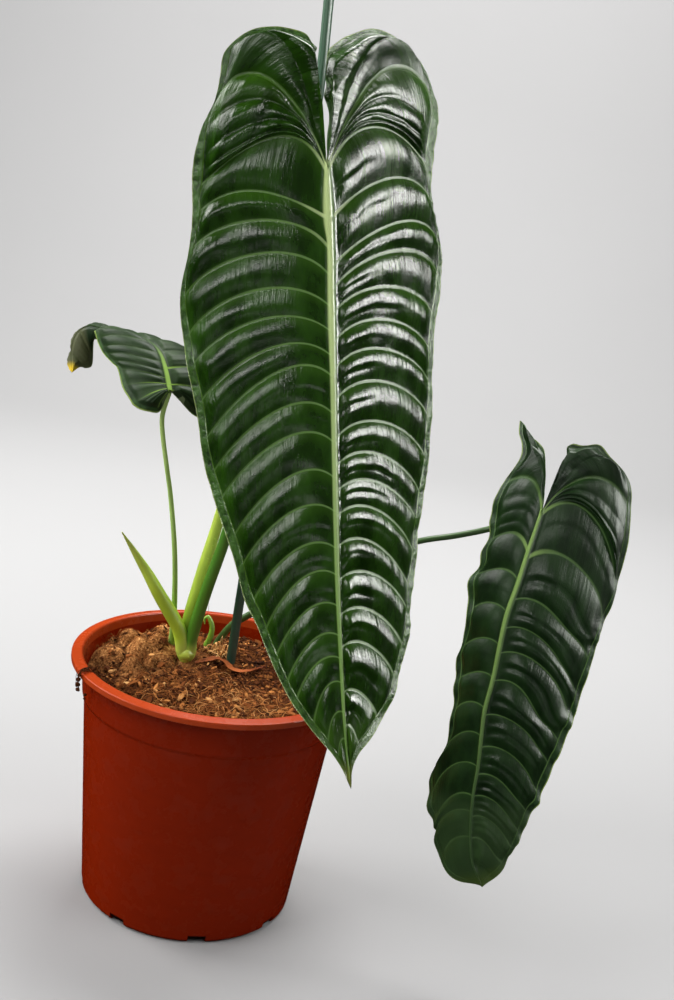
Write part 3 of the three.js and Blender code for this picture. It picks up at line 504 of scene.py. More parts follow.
# Single strands: a pale hair by the crown, a hair above the side shoot and fibres that hang over the lip,
# each with its line, thickness and tone
STRANDS = (
    (((6, 30, 199), (6, 29, 206), (2.5, 28, 213), (3.5, 29, 222)), 0.22, 0.98),
    (((-19, 63, 225), (-17.5, 62, 233), (-18.4, 62, 241)), 0.2, 0.5),
    (((-86, -56, 196), (-91, -60, 209), (-96, -65, 214.2), (-100.4, -68, 212), (-101.6, -68.6, 202)),
     0.55, 0.1),
    (((-84, -60, 197), (-90, -63, 211), (-97, -68, 214), (-100.6, -71.5, 210), (-99.6, -72, 198)),
     0.5, 0.2),
    (((-89, -52, 198), (-94, -57, 212), (-99, -63, 214), (-104, -64, 209), (-103.6, -65, 200)),
     0.45, 0.05),
    (((-96, -60, 214), (-100, -67, 214), (-101.6, -71, 208), (-100, -71.6, 199)), 0.7, 0.08),
)
# Crumbs caught on the lip: place and size
CRUMBS = (
    (-92, -60, 213, 3.0), (-96, -63, 213.6, 2.6), (-98.4, -66, 213.4, 2.8),
    (-101.4, -68.4, 206, 3.6), (-101.8, -69, 202, 4.0), (-100.6, -70.5, 198.6, 3.4),
    (-101.4, -67.4, 209.6, 2.8), (-96.6, -59.6, 190, 2.6), (-96.2, -60.8, 187, 2.0),
)

STAKE_RADIUS = 4.0
STAKE_LINE = (
    (9.4, 40, 60), (9.4, 40, 192), (12.2, 40, 420), (15, 40, 620), (14.4, 40, 700), (12.3, 40, 747),
    (10.4, 40, 792),
)

# Stage lights: azimuth off the camera's side, elevation and distance in metres, size, which setting they
# take their power from, its share, and what they are left out of
LIGHTS = {
    "key_sheen": (73, 24, 1.5, (0.65, 0.74), "key_power", 1.15, "diffuse"),
    "key_softbox": (73, 40, 1.6, (1.0, 1.0), "key_power", 0.32, "glossy"),
    "left_softbox": (-104, 34, 1.7, (0.8, 1.0), "fill_power", 1.2, None),
    "left_bounce": (-62, 30, 1.7, (1.0, 1.0), "fill_power", 1.0, "glossy"),
    "low_sheen": (12, -8, 2.2, (0.7, 0.4), "fill_power", 0.07, "diffuse"),
    "left_window": (-30, 25, 2.0, (0.9, 0.36), "fill_power", 0.6, "diffuse"),
    "front_fill": (8, 32, 2.2, (0.9, 0.5), "fill_power", 0.18, "glossy"),
    "back_softbox": (165, 64, 1.6, (1.2, 0.8), "fill_power", 1.9, None),
    "backdrop_wash": (180, 70, 1.9, (2.4, 0.6), "key_power", 3.6, None),
}
BACKDROP_REACH = 5000
BEND_START = 1700
BEND_RADIUS = 1300
FLOOR_LEVEL = -0.4
LIGHT_TARGET = (0.08, -0.03, 0.42)
LIGHT_COLOUR = (1.0, 0.99, 0.97)
SKY_COLOUR = (0.93, 0.95, 1.0)
WASH_TILT = 80


def ease(x, start, end):
    """Smooth step from 0 at start to 1 at end: s squared times (3 - 2 s)."""
    s = np.clip((np.asarray(x, float) - start) / (end - start), 0, 1)
    return s * s * (3 - 2 * s)


def arch(s):
    """Bow over a span: 0 at both ends and 1 in the middle."""
    return 4 * s * (1 - s)


def unit(v):
    """Vectors of length one."""
    return v / np.maximum(np.linalg.norm(v, axis=-1, keepdims=True), 1e-12)


def dot(a, b):
    """Dot products along the last axis, kept as a column."""
    return (a * b).sum(-1, keepdims=True)


def chord_knots(points):
    """Share of the summed chord length at which each point lies."""
    steps = np.linalg.norm(np.diff(points, axis=0), axis=1)
    total = np.concatenate([[0], np.cumsum(steps)])
    return total / total[-1]


def curve(points, at, knots=None):
    """Curve through points: cubic Hermite pieces whose slope at a point is that of the chord between
    its neighbours. Knots are the points' parameters, by default their shares of chord length."""
    p = np.asarray(points, float)
    if p.ndim == 1:
        p = p[:, None]
    k = chord_knots(p) if knots is None else np.asarray(knots, float)
    lower = np.maximum(np.arange(len(k)) - 1, 0)
    upper = np.minimum(np.arange(len(k)) + 1, len(k) - 1)
    slope = (p[upper] - p[lower]) / (k[upper] - k[lower])[:, None]
    x = np.clip(np.asarray(at, float), k[0], k[-1])
    i = np.clip(np.searchsorted(k, x, side="right") - 1, 0, len(k) - 2)
    h = (k[i + 1] - k[i])[..., None]
    s = ((x - k[i]) / (k[i + 1] - k[i]))[..., None]
    near = p[i] * (2 * s**3 - 3 * s**2 + 1) + slope[i] * h * (s**3 - 2 * s**2 + s)
    return near + p[i + 1] * (3 * s**2 - 2 * s**3) + slope[i + 1] * h * (s**3 - s**2)


def spread(values, at, start=0.0, end=1.0):
    """Smooth number over evenly spread knots between two limits."""
    return curve(values, at, np.linspace(start, end, len(values)))[..., 0]


def lattice_noise(x, y, seed):
    """Noise from -1 to 1: random numbers on a unit lattice, eased between the four nearest."""
    table = np.random.default_rng(seed).uniform(-1, 1, (256, 256))
    i, j = np.floor(x).astype(int), np.floor(y).astype(int)
    s, t = ease(x - i, 0, 1), ease(y - j, 0, 1)
    low, high = (
        table[i % 256, row % 256] * (1 - s) + table[(i + 1) % 256, row % 256] * s for row in (j, j + 1)
    )
    return low * (1 - t) + high * t


def rough_noise(x, y, seed, octaves):
    """Noise summed over octaves, each twice as fine and half as high, over the height of three."""
    return sum(lattice_noise(x * 2**n, y * 2**n, seed + n) / 2**n for n in range(octaves)) / 1.75


def circle(sides):
    """Angles spread evenly round a circle."""
    return np.linspace(0, 2 * np.pi, sides, endpoint=False)


def heading(line, q, step=0.01):
    """Direction along a curve: from a little before each place to a little after it."""
    return unit(curve(line, np.minimum(q + step, 1)) - curve(line, np.maximum(q - step, 0)))


def grid_faces(rows, columns, first=0, closed=False):
    """Quads of a grid numbered row by row from first; closed joins the last column to the first."""
    r = np.arange(rows - 1)[:, None] * columns
    c = np.arange(columns if closed else columns - 1)[None, :]
    following = (c + 1) % columns
    quads = np.stack([r + c, r + following, r + columns + following, r + columns + c], -1)
    return quads.reshape(-1, 4) + first


def piece(name, points, quads, fields=None, weld=1e-5):
    """Mesh object in metres from points in millimetres and quads of point numbers.

    Points that coincide become one, and a quad that loses a corner becomes a triangle. Fields are
    numbers or vectors given for each point and kept for each face corner."""
    points = np.asarray(points, float)
    keys, index = np.unique(np.round(points / weld).astype(np.int64), axis=0, return_inverse=True)
    index = index.reshape(-1)
    place = np.zeros((len(keys), 3))
    place[index] = points
    corners = index[quads]
    same = corners == np.roll(corners, -1, axis=1)
    whole = ~same.any(1)
    short = same.sum(1) == 1
    kept = np.argsort(same[short], axis=1, kind="stable")[:, :3]
    kept.sort(axis=1)
    rows = np.arange(kept.shape[0])[:, None]
    loops = np.concatenate([quads[whole].ravel(), quads[short][rows, kept].ravel()])
    sizes = np.concatenate([np.full(whole.sum(), 4), np.full(short.sum(), 3)])
    mesh = bpy.data.meshes.new(name)
    mesh.vertices.add(len(place))
    mesh.vertices.foreach_set("co", (place * MM).astype(np.float32).ravel())
    mesh.loops.add(len(loops))
    mesh.loops.foreach_set("vertex_index", index[loops].astype(np.int32))
    mesh.polygons.add(len(sizes))
    starts = np.concatenate([[0], np.cumsum(sizes)[:-1]])
    mesh.polygons.foreach_set("loop_start", starts.astype(np.int32))
    mesh.update(calc_edges=True)
    mesh.polygons.foreach_set("use_smooth", np.ones(len(sizes), bool))
    for field, values in (fields or {}).items():
        values = np.asarray(values, np.float32)
        kind, key = ("FLOAT", "value") if values.ndim == 1 else ("FLOAT_VECTOR", "vector")
        layer = mesh.attributes.new(field, kind, "CORNER")
        layer.data.foreach_set(key, values[loops].ravel())
    made = bpy.data.objects.new(name, mesh)
    bpy.context.scene.collection.objects.link(made)
    return made


def finish_piece(made, material, slot_name, *nodes):
    """Gives a piece its material and its place in the frame."""
    made.data.materials.append(material)
    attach(made, ROOT)
    if nodes:
        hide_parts(*nodes)


def capped(rings, centre, q, turn):
    """Rings joined into a closed shape, whose ends are drawn together to their centres.

    Returns points, quads and fields: share along the shape and the angle round it."""
    sides = rings.shape[1]
    ends = np.repeat(centre[[0, -1], None], sides, 1)
    points = np.concatenate([ends[:1], rings, ends[1:]])
    share = np.concatenate([q[:1], q, q[-1:]])[:, None] * np.ones(sides)
    fields = {"share": share.ravel(), "turn": np.broadcast_to(turn, share.shape).ravel()}
    return points.reshape(-1, 3), grid_faces(len(points), sides, closed=True), fields


def tube(line, radius, sides, steps, swell=None):
    """Tapered stem: circles carried along the curve through line, each turned with the curve.

    Swell adds height in millimetres as a function of (share, angle)."""
    q = np.linspace(0, 1, steps + 1)
    centre = curve(line, q)
    along = heading(line, q)
    side = np.zeros_like(along)
    before = np.array([1.0, 0.0, 0.0])
    for i in range(len(q)):
        before = unit(before - along[i] * (before @ along[i]))
        side[i] = before
    up = np.cross(along, side)
    angle = circle(sides)
    r = spread(radius, q)[:, None] * np.ones(sides)
    if swell:
        r = r + swell(q[:, None], angle[None, :])
    ring = side[:, None] * np.cos(angle)[None, :, None] + up[:, None] * np.sin(angle)[None, :, None]
    return capped(centre[:, None] + ring * r[..., None], centre, q, angle)


class Midrib:
    """The blade's spine: a fine polyline through the midrib with its running length."""

    STEPS = 400

    def __init__(self, spec):
        self.points = curve(spec["midrib"], np.linspace(0, 1, self.STEPS + 1))
        steps = np.linalg.norm(np.diff(self.points, axis=0), axis=1)
        self.lengths = np.concatenate([[0], np.cumsum(steps)])
        self.total = self.lengths[-1]
        self.spec = spec

    def at(self, v):
        """Point at a length from the junction."""
        x = np.clip(v, 0, self.total)
        return np.stack([np.interp(x, self.lengths, self.points[:, i]) for i in range(3)], -1)

    def frame(self, v):
        """Place, direction across and direction out of the upper side. Above the junction the sheet
        runs straight on and bends back by a fixed turn per millimetre."""
        spec = self.spec
        on = np.clip(v, 0, self.total)
        ahead = self.at(np.minimum(on + 2, self.total))
        along = unit(ahead - self.at(np.maximum(on - 2, 0)))
        face = curve(spec["face"], on / self.total, np.linspace(0, 1, len(spec["face"])))
        out = unit(face - along * dot(face, along))
        bend = spec["lobeBend"]
        turn = (bend * -np.minimum(v, 0))[..., None]
        place = self.at(v) - along * np.sin(turn) / bend - out * (1 - np.cos(turn)) / bend
        return place, np.cross(out, along), out * np.cos(turn) - along * np.sin(turn)


def vein_numbers(origin_knots, count, stations):
    """Vein number whose origin lies at each midrib station."""
    k = np.linspace(1, count + 1, 6000)
    v = np.maximum.accumulate(curve(origin_knots, k, np.arange(count + 2))[:, 0])
    second = origin_knots[2]
    near = (stations <= second) & (second < JUNCTION_SPAN)
    return np.where(near, 1 + stations / second, np.interp(stations, v, k))


def midrib_stations(spec, total, pitch):
    """Lengths along the midrib: every vein's origin, and more between them, at most the pitch apart."""
    marks = sorted({0.0, total, *(float(o) for h in ("left", "right") for o, _ in spec[h]["veins"])})
    kept = [0.0]
    for mark in marks[1:]:
        if mark == total or mark - kept[-1] > pitch / 2:
            kept.append(mark)
    spans = []
    for a, b in zip(kept, kept[1:]):
        rows = JUNCTION_ROWS if b < JUNCTION_SPAN * pitch / FINE_PITCH else math.ceil((b - a) / pitch)
        spans.append(np.linspace(a, b, max(1, rows) + 1)[1:])
    return np.concatenate(spans)


def blade_shares(start, edge):
    """Shares of a vein's length at which points lie: over the rib, the quilting and the margin strip."""
    rib = np.array(RIB_COLUMNS)
    inner = 1 - (1 - np.linspace(0, 1, PILLOW_COLUMNS + 1)[1:]) ** PILLOW_CROWDING
    return np.concatenate(
        [start * rib, start + (edge - start) * inner, edge + (1 - edge) * rib[1:]], axis=-1
    )


def vein_rows(origins, count, stations):
    """Vein number of each row: the fan above the junction, then one row for each midrib station."""
    return np.concatenate([np.linspace(0, 1, FAN_ROWS + 1), vein_numbers(origins, count, stations)])


def between_veins(k, t, count):
    """Share of the way from one vein to the next, for each point of each row."""
    s = (k - np.floor(k))[:, None] * np.ones_like(t)
    return np.where(k[:, None] >= count + 1, 0, s)


def pillow_fade(t, start, edge, rise):
    """How far a pillow is up: it rises over a share of the vein from the rib, and falls at the strip."""
    return ease(t, start, start + rise) * (1 - ease(t, edge - EDGE_FADE, edge))


def two_faces(sheet, out, lift, share_of_rib, width, to_margin, thinning):
    """Upper and lower face of a half: the sheet raised by lift, with a rounded rib that stands out of both
    faces, and thinned at the margin."""
    rib = np.cos(np.pi / 2 * np.clip(share_of_rib, 0, 1)) ** RIB_ROUNDING * width
    thick = BLADE_THICKNESS * (1 - thinning * ease(to_margin, THIN_MARGIN, 0))
    top = sheet + out * (lift + RIB_RISE * rib)[..., None]
    return top, sheet + out * (lift - thick - RIB_KEEL * rib)[..., None]


def flat_arcs(data, k, origin, end_at, count):
    """Veins in the flat pattern (u away from the midrib, v along it): the four points of each cubic arc,
    its handles' length, and its slants where it leaves the rib and meets the margin. Bows give single
    veins slants of their own, and the fan above the junction starts straight."""
    start_at = np.stack([0 * origin, origin], -1)
    chord = np.linalg.norm(end_at - start_at, axis=1)
    handle = (LOBE_HANDLE + (VEIN_HANDLE - LOBE_HANDLE) * ease(k, 1, 4)) * chord
    leave, arrive = (spread(data[key], k, 0, count + 1) for key in ("leave", "arrive"))
    for vein, leaving, arriving in data["bows"]:
        own = ease(k, vein - 1, vein) * (1 - ease(k, vein, vein + 1))
        leave = leave + (leaving - leave) * own
        arrive = arrive + (arriving - arrive) * own
    a, b = np.radians(leave), np.radians(arrive)
    first = start_at + handle[:, None] * np.stack([np.cos(a), -np.sin(a)], -1)
    bowed = end_at - handle[:, None] * np.stack([np.cos(b), -np.sin(b)], -1)
    straight = end_at - (end_at - start_at) / 3
    second = straight + (bowed - straight) * ease(k, FAN_STRAIGHT, 1)[:, None]
    return (start_at, first, second, end_at), handle, a, b


def folded(data, midrib, sign, u, v):
    """Places of the flat pattern on the sheet, which drops away from the rib at the fold angle and curls
    on in proportion to u, and the sheet's directions out of the upper side."""
    place, across, out = midrib.frame(v)
    fold = np.radians(curve(data["fold"], v / midrib.total, FOLD_SHARES)[..., 0])
    curl = data["curl"]
    bend = fold + curl * u
    sideways = (np.sin(bend) - np.sin(fold)) / curl
    back = (np.cos(fold) - np.cos(bend)) / curl
    normal = out * np.cos(bend)[..., None] + across * (sign * np.sin(bend))[..., None]
    normal = np.where((u > 0)[..., None], normal, out)
    return place + across * (sign * sideways)[..., None] - out * back[..., None], normal


def blade_half(spec, midrib, side, stations):
    """Grids of one half of a hanging blade.

    Each row is a vein or lies between two veins, as an arc of the flat pattern that is laid on a folded
    sheet. Between two veins the sheet swells as a pillow whose height is a share of the veins' spacing.
    Wrinkles are added, and nicks push the lobe's margin in or out."""
    data = spec[side]
    sign = 1.0 if side == "right" else -1.0
    count = len(data["veins"])
    total = midrib.total
    margin = (*data["margin"], (0, total))
    table = np.linspace(0, 1, 1001)
    down = curve(margin, table)[:, 1]
    numbers = np.arange(count + 2)
    origins = (0, *(o for o, _ in data["veins"]), total)
    reaches = (0, *(table[np.nonzero(down <= r)[0][-1]] for _, r in data["veins"]), 1)
    k = vein_rows(origins, count, stations)
    origin = np.concatenate([np.zeros(FAN_ROWS + 1), stations])
    end_at = curve(margin, curve(reaches, k, numbers)[:, 0])
    corners, handle, a, b = flat_arcs(data, k, origin, end_at, count)
    below = np.floor(np.minimum(k, count)).astype(int)
    known = np.array(origins, float)
    landing = curve(margin, np.array(reaches, float))
    gap_in = (known[below + 1] - known[below]) * np.cos(a)
    gap_out = np.linalg.norm(landing[below + 1] - landing[below], axis=1) * np.clip(np.cos(b), *GAP_SLANT)
    width = spread(spec["ribWidth"], np.clip(origin / total, 0, 1))
    speed = 3 * np.maximum(handle, 1)
    start = np.minimum(width / speed, RIB_MOST)[:, None]
    strip = spec["strip"] * (1 - STRIP_NARROWING * ease(origin / total, 0.6, 1))
    edge = np.clip(1 - strip / speed, *EDGE_LIMITS)[:, None]
    t = blade_shares(start, edge)
    r = 1 - t
    weights = (r**3, 3 * r * r * t, 3 * r * t * t, t**3)
    flat = sum(corner[:, None] * weight[..., None] for corner, weight in zip(corners, weights))
    step = np.linalg.norm(np.diff(flat, axis=1), axis=-1)
    run = np.concatenate([np.zeros((len(k), 1)), np.cumsum(step, axis=1)], axis=1)
    length = run[:, -1:]
    u, v = flat[..., 0], flat[..., 1]
    inner = (k < 1)[:, None] * ease(length - run, NICK_DEPTH, 0) * ease(u, 30, 15)
    u = u + sum(shift * np.exp(-(((v - at) / wide) ** 2)) for at, wide, shift in data["nicks"]) * inner
    gap = np.minimum(gap_in[:, None] * r + gap_out[:, None] * t, spec["widestGap"])
    s = between_veins(k, t, count)
    fade = pillow_fade(t, start, edge, data["rise"]) * ease(total - v, *TIP_CALM)
    lobe_cell = (ease(k, 0.95, 1.15) * ease(k, 2, 1.85))[:, None]
    swell = 1 - np.abs(2 * s - 1) ** CREST
    pillow = data["pillow"] * gap * swell * fade * (1 + spec["lobePillow"] * lobe_cell)
    fields = {
        "number": k[:, None],
        "run": run,
        "to_edge": (edge - t) / (1 - edge) * spec["strip"],
        "to_margin": length - run,
        "gap": gap,
        "rib": np.clip(t / start, 0, 3) * spec["ribWidth"][0],
        "down": v / total,
    }
    ruffle = spec["ruffle"] * np.sin(2 * np.pi * k)[:, None] * t**3
    shape = {"k": k[:, None], "s": s, "t": t, "v": v, "run": run, "gap": gap, "fade": fade, "side": sign}
    sag = data["sag"] * gap * 2.2 * s * (1 - s) * (0.5 - s) * fade
    lift = pillow + sag + ruffle + wrinkles(shape, data["wrinkles"])
    sheet, normal = folded(data, midrib, sign, u, v)
    faces = two_faces(sheet, normal, lift, t / start, width[:, None], fields["to_margin"], THINNING)
    return *faces, fields


def blade_piece(name, halves):
    """One closed blade from the top and bottom grids of its two halves."""
    points, quads, collected = [], [], []
    first = 0
    for sign, (top, bottom, fields) in halves:
        rows, columns = top.shape[:2]
        over = grid_faces(rows, columns, first)
        under = grid_faces(rows, columns, first + rows * columns)
        rim_over = first + np.arange(rows) * columns + columns - 1
        rim_under = rim_over + rows * columns
        rim = np.stack([rim_over[:-1], rim_under[:-1], rim_under[1:], rim_over[1:]], -1)
        faces = np.concatenate([over[:, ::-1], under, rim])
        quads.append(faces if sign > 0 else faces[:, ::-1])
        points += [top.reshape(-1, 3), bottom.reshape(-1, 3)]
        for upper in (0.0, 1.0):
            these = {key: np.broadcast_to(value, top.shape[:2]).ravel() for key, value in fields.items()}
            these["under"] = np.full(rows * columns, upper)
            these["half"] = np.full(rows * columns, sign)
            collected.append(these)
        first += 2 * rows * columns
    joined = {key: np.concatenate([c[key] for c in collected]) for key in collected[0]}
    return piece(name, np.concatenate(points), np.concatenate(quads), joined)


def maths(operation, swapped=False):
    """Method that adds a Math node on a field and the other values; swapped puts the field last."""

    def method(self, *others):
        values = (*others, self) if swapped else (self, *others)
        return self.finish.node("ShaderNodeMath", {"operation": operation}, dict(enumerate(values)))

    return method


class Field:
    """A number that varies over a surface; its sums and products add Math nodes."""

    __add__ = maths("ADD")
    __radd__ = maths("ADD", swapped=True)
    __sub__ = maths("SUBTRACT")
    __rsub__ = maths("SUBTRACT", swapped=True)
    __mul__ = maths("MULTIPLY")
    __rmul__ = maths("MULTIPLY", swapped=True)
    __truediv__ = maths("DIVIDE")
    __abs__ = maths("ABSOLUTE")
    fraction = maths("FRACT")
    larger = maths("MAXIMUM")

    def __init__(self, finish, socket):
        self.finish = finish
        self.socket = socket

    def between(self, low, high):
        """Smooth step from 0 at low to 1 at high, or from 1 to 0 if low is the larger."""
        limits, ends = ((low, high), (0.0, 1.0)) if low < high else ((high, low), (1.0, 0.0))
        return self.finish.node(
            "ShaderNodeMapRange",
            {"interpolation_type": "SMOOTHSTEP"},
            {0: self, 1: limits[0], 2: limits[1], 3: ends[0], 4: ends[1]},
        )


class Finish:
    """One material, built from expressions on the fields of a surface."""

    def __init__(self, name):
        self.material = bpy.data.materials.new(name)
        self.material.use_nodes = True
        self.tree = self.material.node_tree
        self.shader = self.tree.nodes["Principled BSDF"]

    def node(self, kind, settings=None, inputs=None, output=0):
        """A node of that kind; settings are set first, then its sockets get values or links."""
        made = self.tree.nodes.new(kind)
        for key, value in (settings or {}).items():
            if key == "stops":
                self._set_stops(made.color_ramp, value)
            else:
                setattr(made, key, value)
        for key, value in (inputs or {}).items():
            self.give(made.inputs[key], value)
        return Field(self, made.outputs[output])

    def _set_stops(self, ramp, stops):
        """Gives a ramp its places and colours."""
        while len(ramp.elements) < len(stops):
            ramp.elements.new(1.0)
        for element, (place, colour) in zip(ramp.elements, stops):
            element.position = place
            element.color = (*colour, 1.0)

    def give(self, socket, value):
        """Links a field to a socket, or sets the socket's own value."""
        if isinstance(value, Field):
            self.tree.links.new(value.socket, socket)
        elif isinstance(value, tuple) and len(value) == 3 and socket.type == "RGBA":
            socket.default_value = (*value, 1.0)
        else:
            socket.default_value = value

    def surface(self, **values):
        """Sets the surface shader's sockets; an underscore in a name stands for a space."""
        for key, value in values.items():
            self.give(self.shader.inputs[key.replace("_", " ")], value)
        return self.material

    def read(self, name):
        """A number kept on the mesh."""
        return self.node("ShaderNodeAttribute", {"attribute_name": name}, output=2)

    def place(self):
        """Object coordinates in metres."""
        return self.node("ShaderNodeTexCoord", output=3)

    def vector(self, x, y, z):
        """A vector from three numbers or fields."""
        return self.node("ShaderNodeCombineXYZ", inputs={0: x, 1: y, 2: z})

    def stretched(self, vector, scale):
        """A vector times a scale for each axis."""
        return self.node("ShaderNodeVectorMath", {"operation": "MULTIPLY"}, {0: vector, 1: scale})

    def noise(self, vector, scale, detail, roughness):
        """Noise from 0 to 1."""
        inputs = {"Vector": vector, "Scale": scale, "Detail": detail, "Roughness": roughness}
        return self.node("ShaderNodeTexNoise", inputs=inputs)

    def cells(self, vector, scale):
        """Distance to the nearest of points scattered in space."""
        return self.node("ShaderNodeTexVoronoi", inputs={"Vector": vector, "Scale": scale})

    def mix(self, share, first, second):
        """Colour between two colours."""
        return self.node("ShaderNodeMix", {"data_type": "RGBA"}, {0: share, 6: first, 7: second}, 2)

    def ramp(self, value, *stops):
        """Colour read off stops of a place and a colour."""
        return self.node("ShaderNodeValToRGB", {"stops": stops}, {0: value})

    def bump(self, height, distance, strength):
        """Normal of a height, whose unit is the distance in metres."""
        inputs = {"Strength": strength, "Distance": distance, "Height": height}
        return self.node("ShaderNodeBump", inputs=inputs)


def blade_finish(name, look):
    """Leaf blade: dark quilting, light sunken veins and rib, a lighter margin strip and a paler underside.

    The vein mask is the distance in millimetres to the nearest whole vein number. The streaks are noise
    drawn out across the cells, and the margin line lies in the last millimetre. Light streaks and crinkles
    lie in the strip along the margin, and the tip fades to its own colour. Painted light: the upper part
    of each cell is mixed lighter, the rib's right flank is mixed darker near the top as painted shade, and
    the blade is mixed lighter towards its apex as a painted sheen."""
    f = Finish(name)
    number, run, gap, rib = f.read("number"), f.read("run"), f.read("gap"), f.read("rib")
    to_edge, to_margin, under = f.read("to_edge"), f.read("to_margin"), f.read("under")
    half, down = f.read("half"), f.read("down")
    right_side, left_side = half.between(-0.5, 0.5), half.between(0.5, -0.5)
    share = number.fraction()
    away = (abs(share - 0.5) * -1 + 0.5) * gap
    soft = f.noise(f.vector(run * 0.1, number * look["cell_noise"], half * 7.0), 0.55, 4, 0.6)
    fine = f.noise(f.place(), 420, 4, 0.6)
    streaks = f.noise(f.vector(run, number * 2.2, half * 3.0), look["streak_scale"], 5, 0.62)
    streaks = streaks * (run.between(1, 14) - left_side * run.between(42, 20) * 0.7)
    strip = to_edge.between(0.6, -1.2)
    crinkle = f.noise(f.place(), 190, 3, 0.6)
    foot = run.between(34, 3) * number.between(4.6, 3.4) * down.between(0.2, 0.1)
    vein = (away / (foot * 1.6 + 1)).between(look["vein_width"], 0.15) * to_edge.between(-0.4, 0.6)
    side_show = right_side * (1 - look["left_show"]) + look["left_show"]
    show = (run.between(look["vein_reach"], 0.0) * 0.65 + 0.35) * look["vein_show"] * side_show
    vein = vein * show.larger(foot * 0.85)
    edge_vein = abs(to_edge).between(0.9, 0.1) * run.between(12, 30) * look["edge_vein_show"]
    collar = away.between(look["vein_width"] * 3.0, 0.2) * 0.14
    base = f.mix(soft.between(0.3, 0.72), look["dark"], look["green"])
    # Painted light: the upper part of each cell, just below its vein, is mixed lighter
    upper = share.between(0.42, 0.02) * look["painted_cell_light"]
    base = f.mix(upper, base, look["light"])
    base = f.mix(collar, base, look["light"])
    base = f.mix(strip * crinkle.between(0.35, 0.6) * look["strip_light"], base, look["strip"])
    base = f.mix(vein.larger(edge_vein), base, f.mix(foot, look["vein"], look["rib"]))
    rib_colour = f.mix(down.between(*look["rib_fade"]), look["rib"], look["rib_foot"])
    # Painted shade: the rib's right flank is mixed darker towards the top of the blade
    painted_flank_shade = right_side * rib.between(0.4, 2.2) * down.between(0.75, 0.2) * 0.85
    rib_colour = f.mix(painted_flank_shade, rib_colour, look["light"])
    base = f.mix(rib.between(look["rib_width"], look["rib_width"] * 0.55), base, rib_colour)
    base = f.mix(to_margin.between(1.5, 0.5) * look["line_show"], base, look["line"])
    below = f.mix(away.between(1.6, 0.5), look["under"], look["under_vein"])
    below = f.mix(soft * 0.5, below, look["light"])
    colour = f.mix(under, base, below)
    # Painted sheen: the blade is mixed lighter towards its apex
    painted_apex_sheen = down.between(look["painted_sheen_from"], look["painted_sheen_from"] + 0.06) * look["painted_sheen_share"]
    colour = f.mix(painted_apex_sheen, colour, look["painted_apex_sheen"])
    tip = down.between(look["tip_from"], look["tip_from"] + 0.05)
    colour = f.mix(tip, colour, look["tip"])
    rough = look["rough"] + (soft - 0.5) * 0.12 + vein * 0.45 + under * 0.2
    lobe = right_side * number.between(4.5, 1.6)
    rough = rough + strip * 0.08 + lobe * look["lobe_rough"] + rib.between(4, 2) * 0.12
    rough = rough + left_side * look["left_rough"]
    height = streaks * look["streak_depth"] + fine * look["grain_depth"] + vein * look["vein_bump"]
    height = height + strip * crinkle * look["crinkle"]
    return f.surface(
        Base_Color=colour,
        Roughness=rough,
        Specular_IOR_Level=look["specular"],
        Normal=f.bump(height, 0.001, 1.0),
    )


# Blade looks: colours, then where and how far each mask shows. Widths and runs are in millimetres
GLOSSY_BLADE = {
    "dark": (0.0042, 0.017, 0.0006),
    "green": (0.0155, 0.056, 0.0022),
    "light": (0.044, 0.12, 0.008),
    "strip": (0.055, 0.14, 0.02),
    "vein": (0.095, 0.215, 0.02),
    "rib": (0.46, 0.58, 0.24),
    "rib_foot": (0.17, 0.3, 0.07),
    "line": (0.24, 0.33, 0.07),
    "under": (0.06, 0.13, 0.035),
    "under_vein": (0.14, 0.24, 0.07),
    "cell_noise": 1.3,
    "streak_scale": 0.34,
    "streak_depth": 0.8,
    "grain_depth": 0.12,
    "vein_width": 0.62,
    "vein_reach": 110.0,
    "vein_show": 0.8,
    "vein_bump": 0.1,
    "edge_vein_show": 0.6,
    "painted_cell_light": 0.3,
    "strip_light": 0.75,
    "rib_width": 7.0,
    "line_show": 0.8,
    "rough": 0.19,
    "specular": 0.5,
    "left_show": 1.0,
    "left_rough": 0.035,
    "lobe_rough": 0.05,
    "crinkle": 1.2,
    "rib_fade": (0.1, 0.85),
    "painted_apex_sheen": (0.045, 0.105, 0.012),
    "painted_sheen_from": 0.86,
    "painted_sheen_share": 0.4,
    "tip": (0.15, 0.17, 0.025),
    "tip_from": 0.945,
}

SATIN_BLADE = {
    **GLOSSY_BLADE,
    "dark": (0.0036, 0.013, 0.0026),
    "green": (0.01, 0.032, 0.006),
    "light": (0.03, 0.078, 0.017),
    "strip": (0.02, 0.055, 0.015),
    "vein": (0.1, 0.2, 0.045),
    "rib": (0.21, 0.34, 0.085),
    "rib_foot": (0.035, 0.08, 0.022),
    "rough": 0.31,
    "specular": 0.29,
    "rib_width": 4.6,
    "streak_depth": 0.4,
    "lobe_rough": 0.1,
    "crinkle": 0.5,
    "vein_show": 0.55,
    "left_show": 0.75,
    "left_rough": 0.04,
    "painted_apex_sheen": (0.03, 0.062, 0.019),
    "painted_sheen_from": 0.74,
    "painted_sheen_share": 0.65,
    "painted_cell_light": 0.15,
    "tip": (0.04, 0.07, 0.01),
}

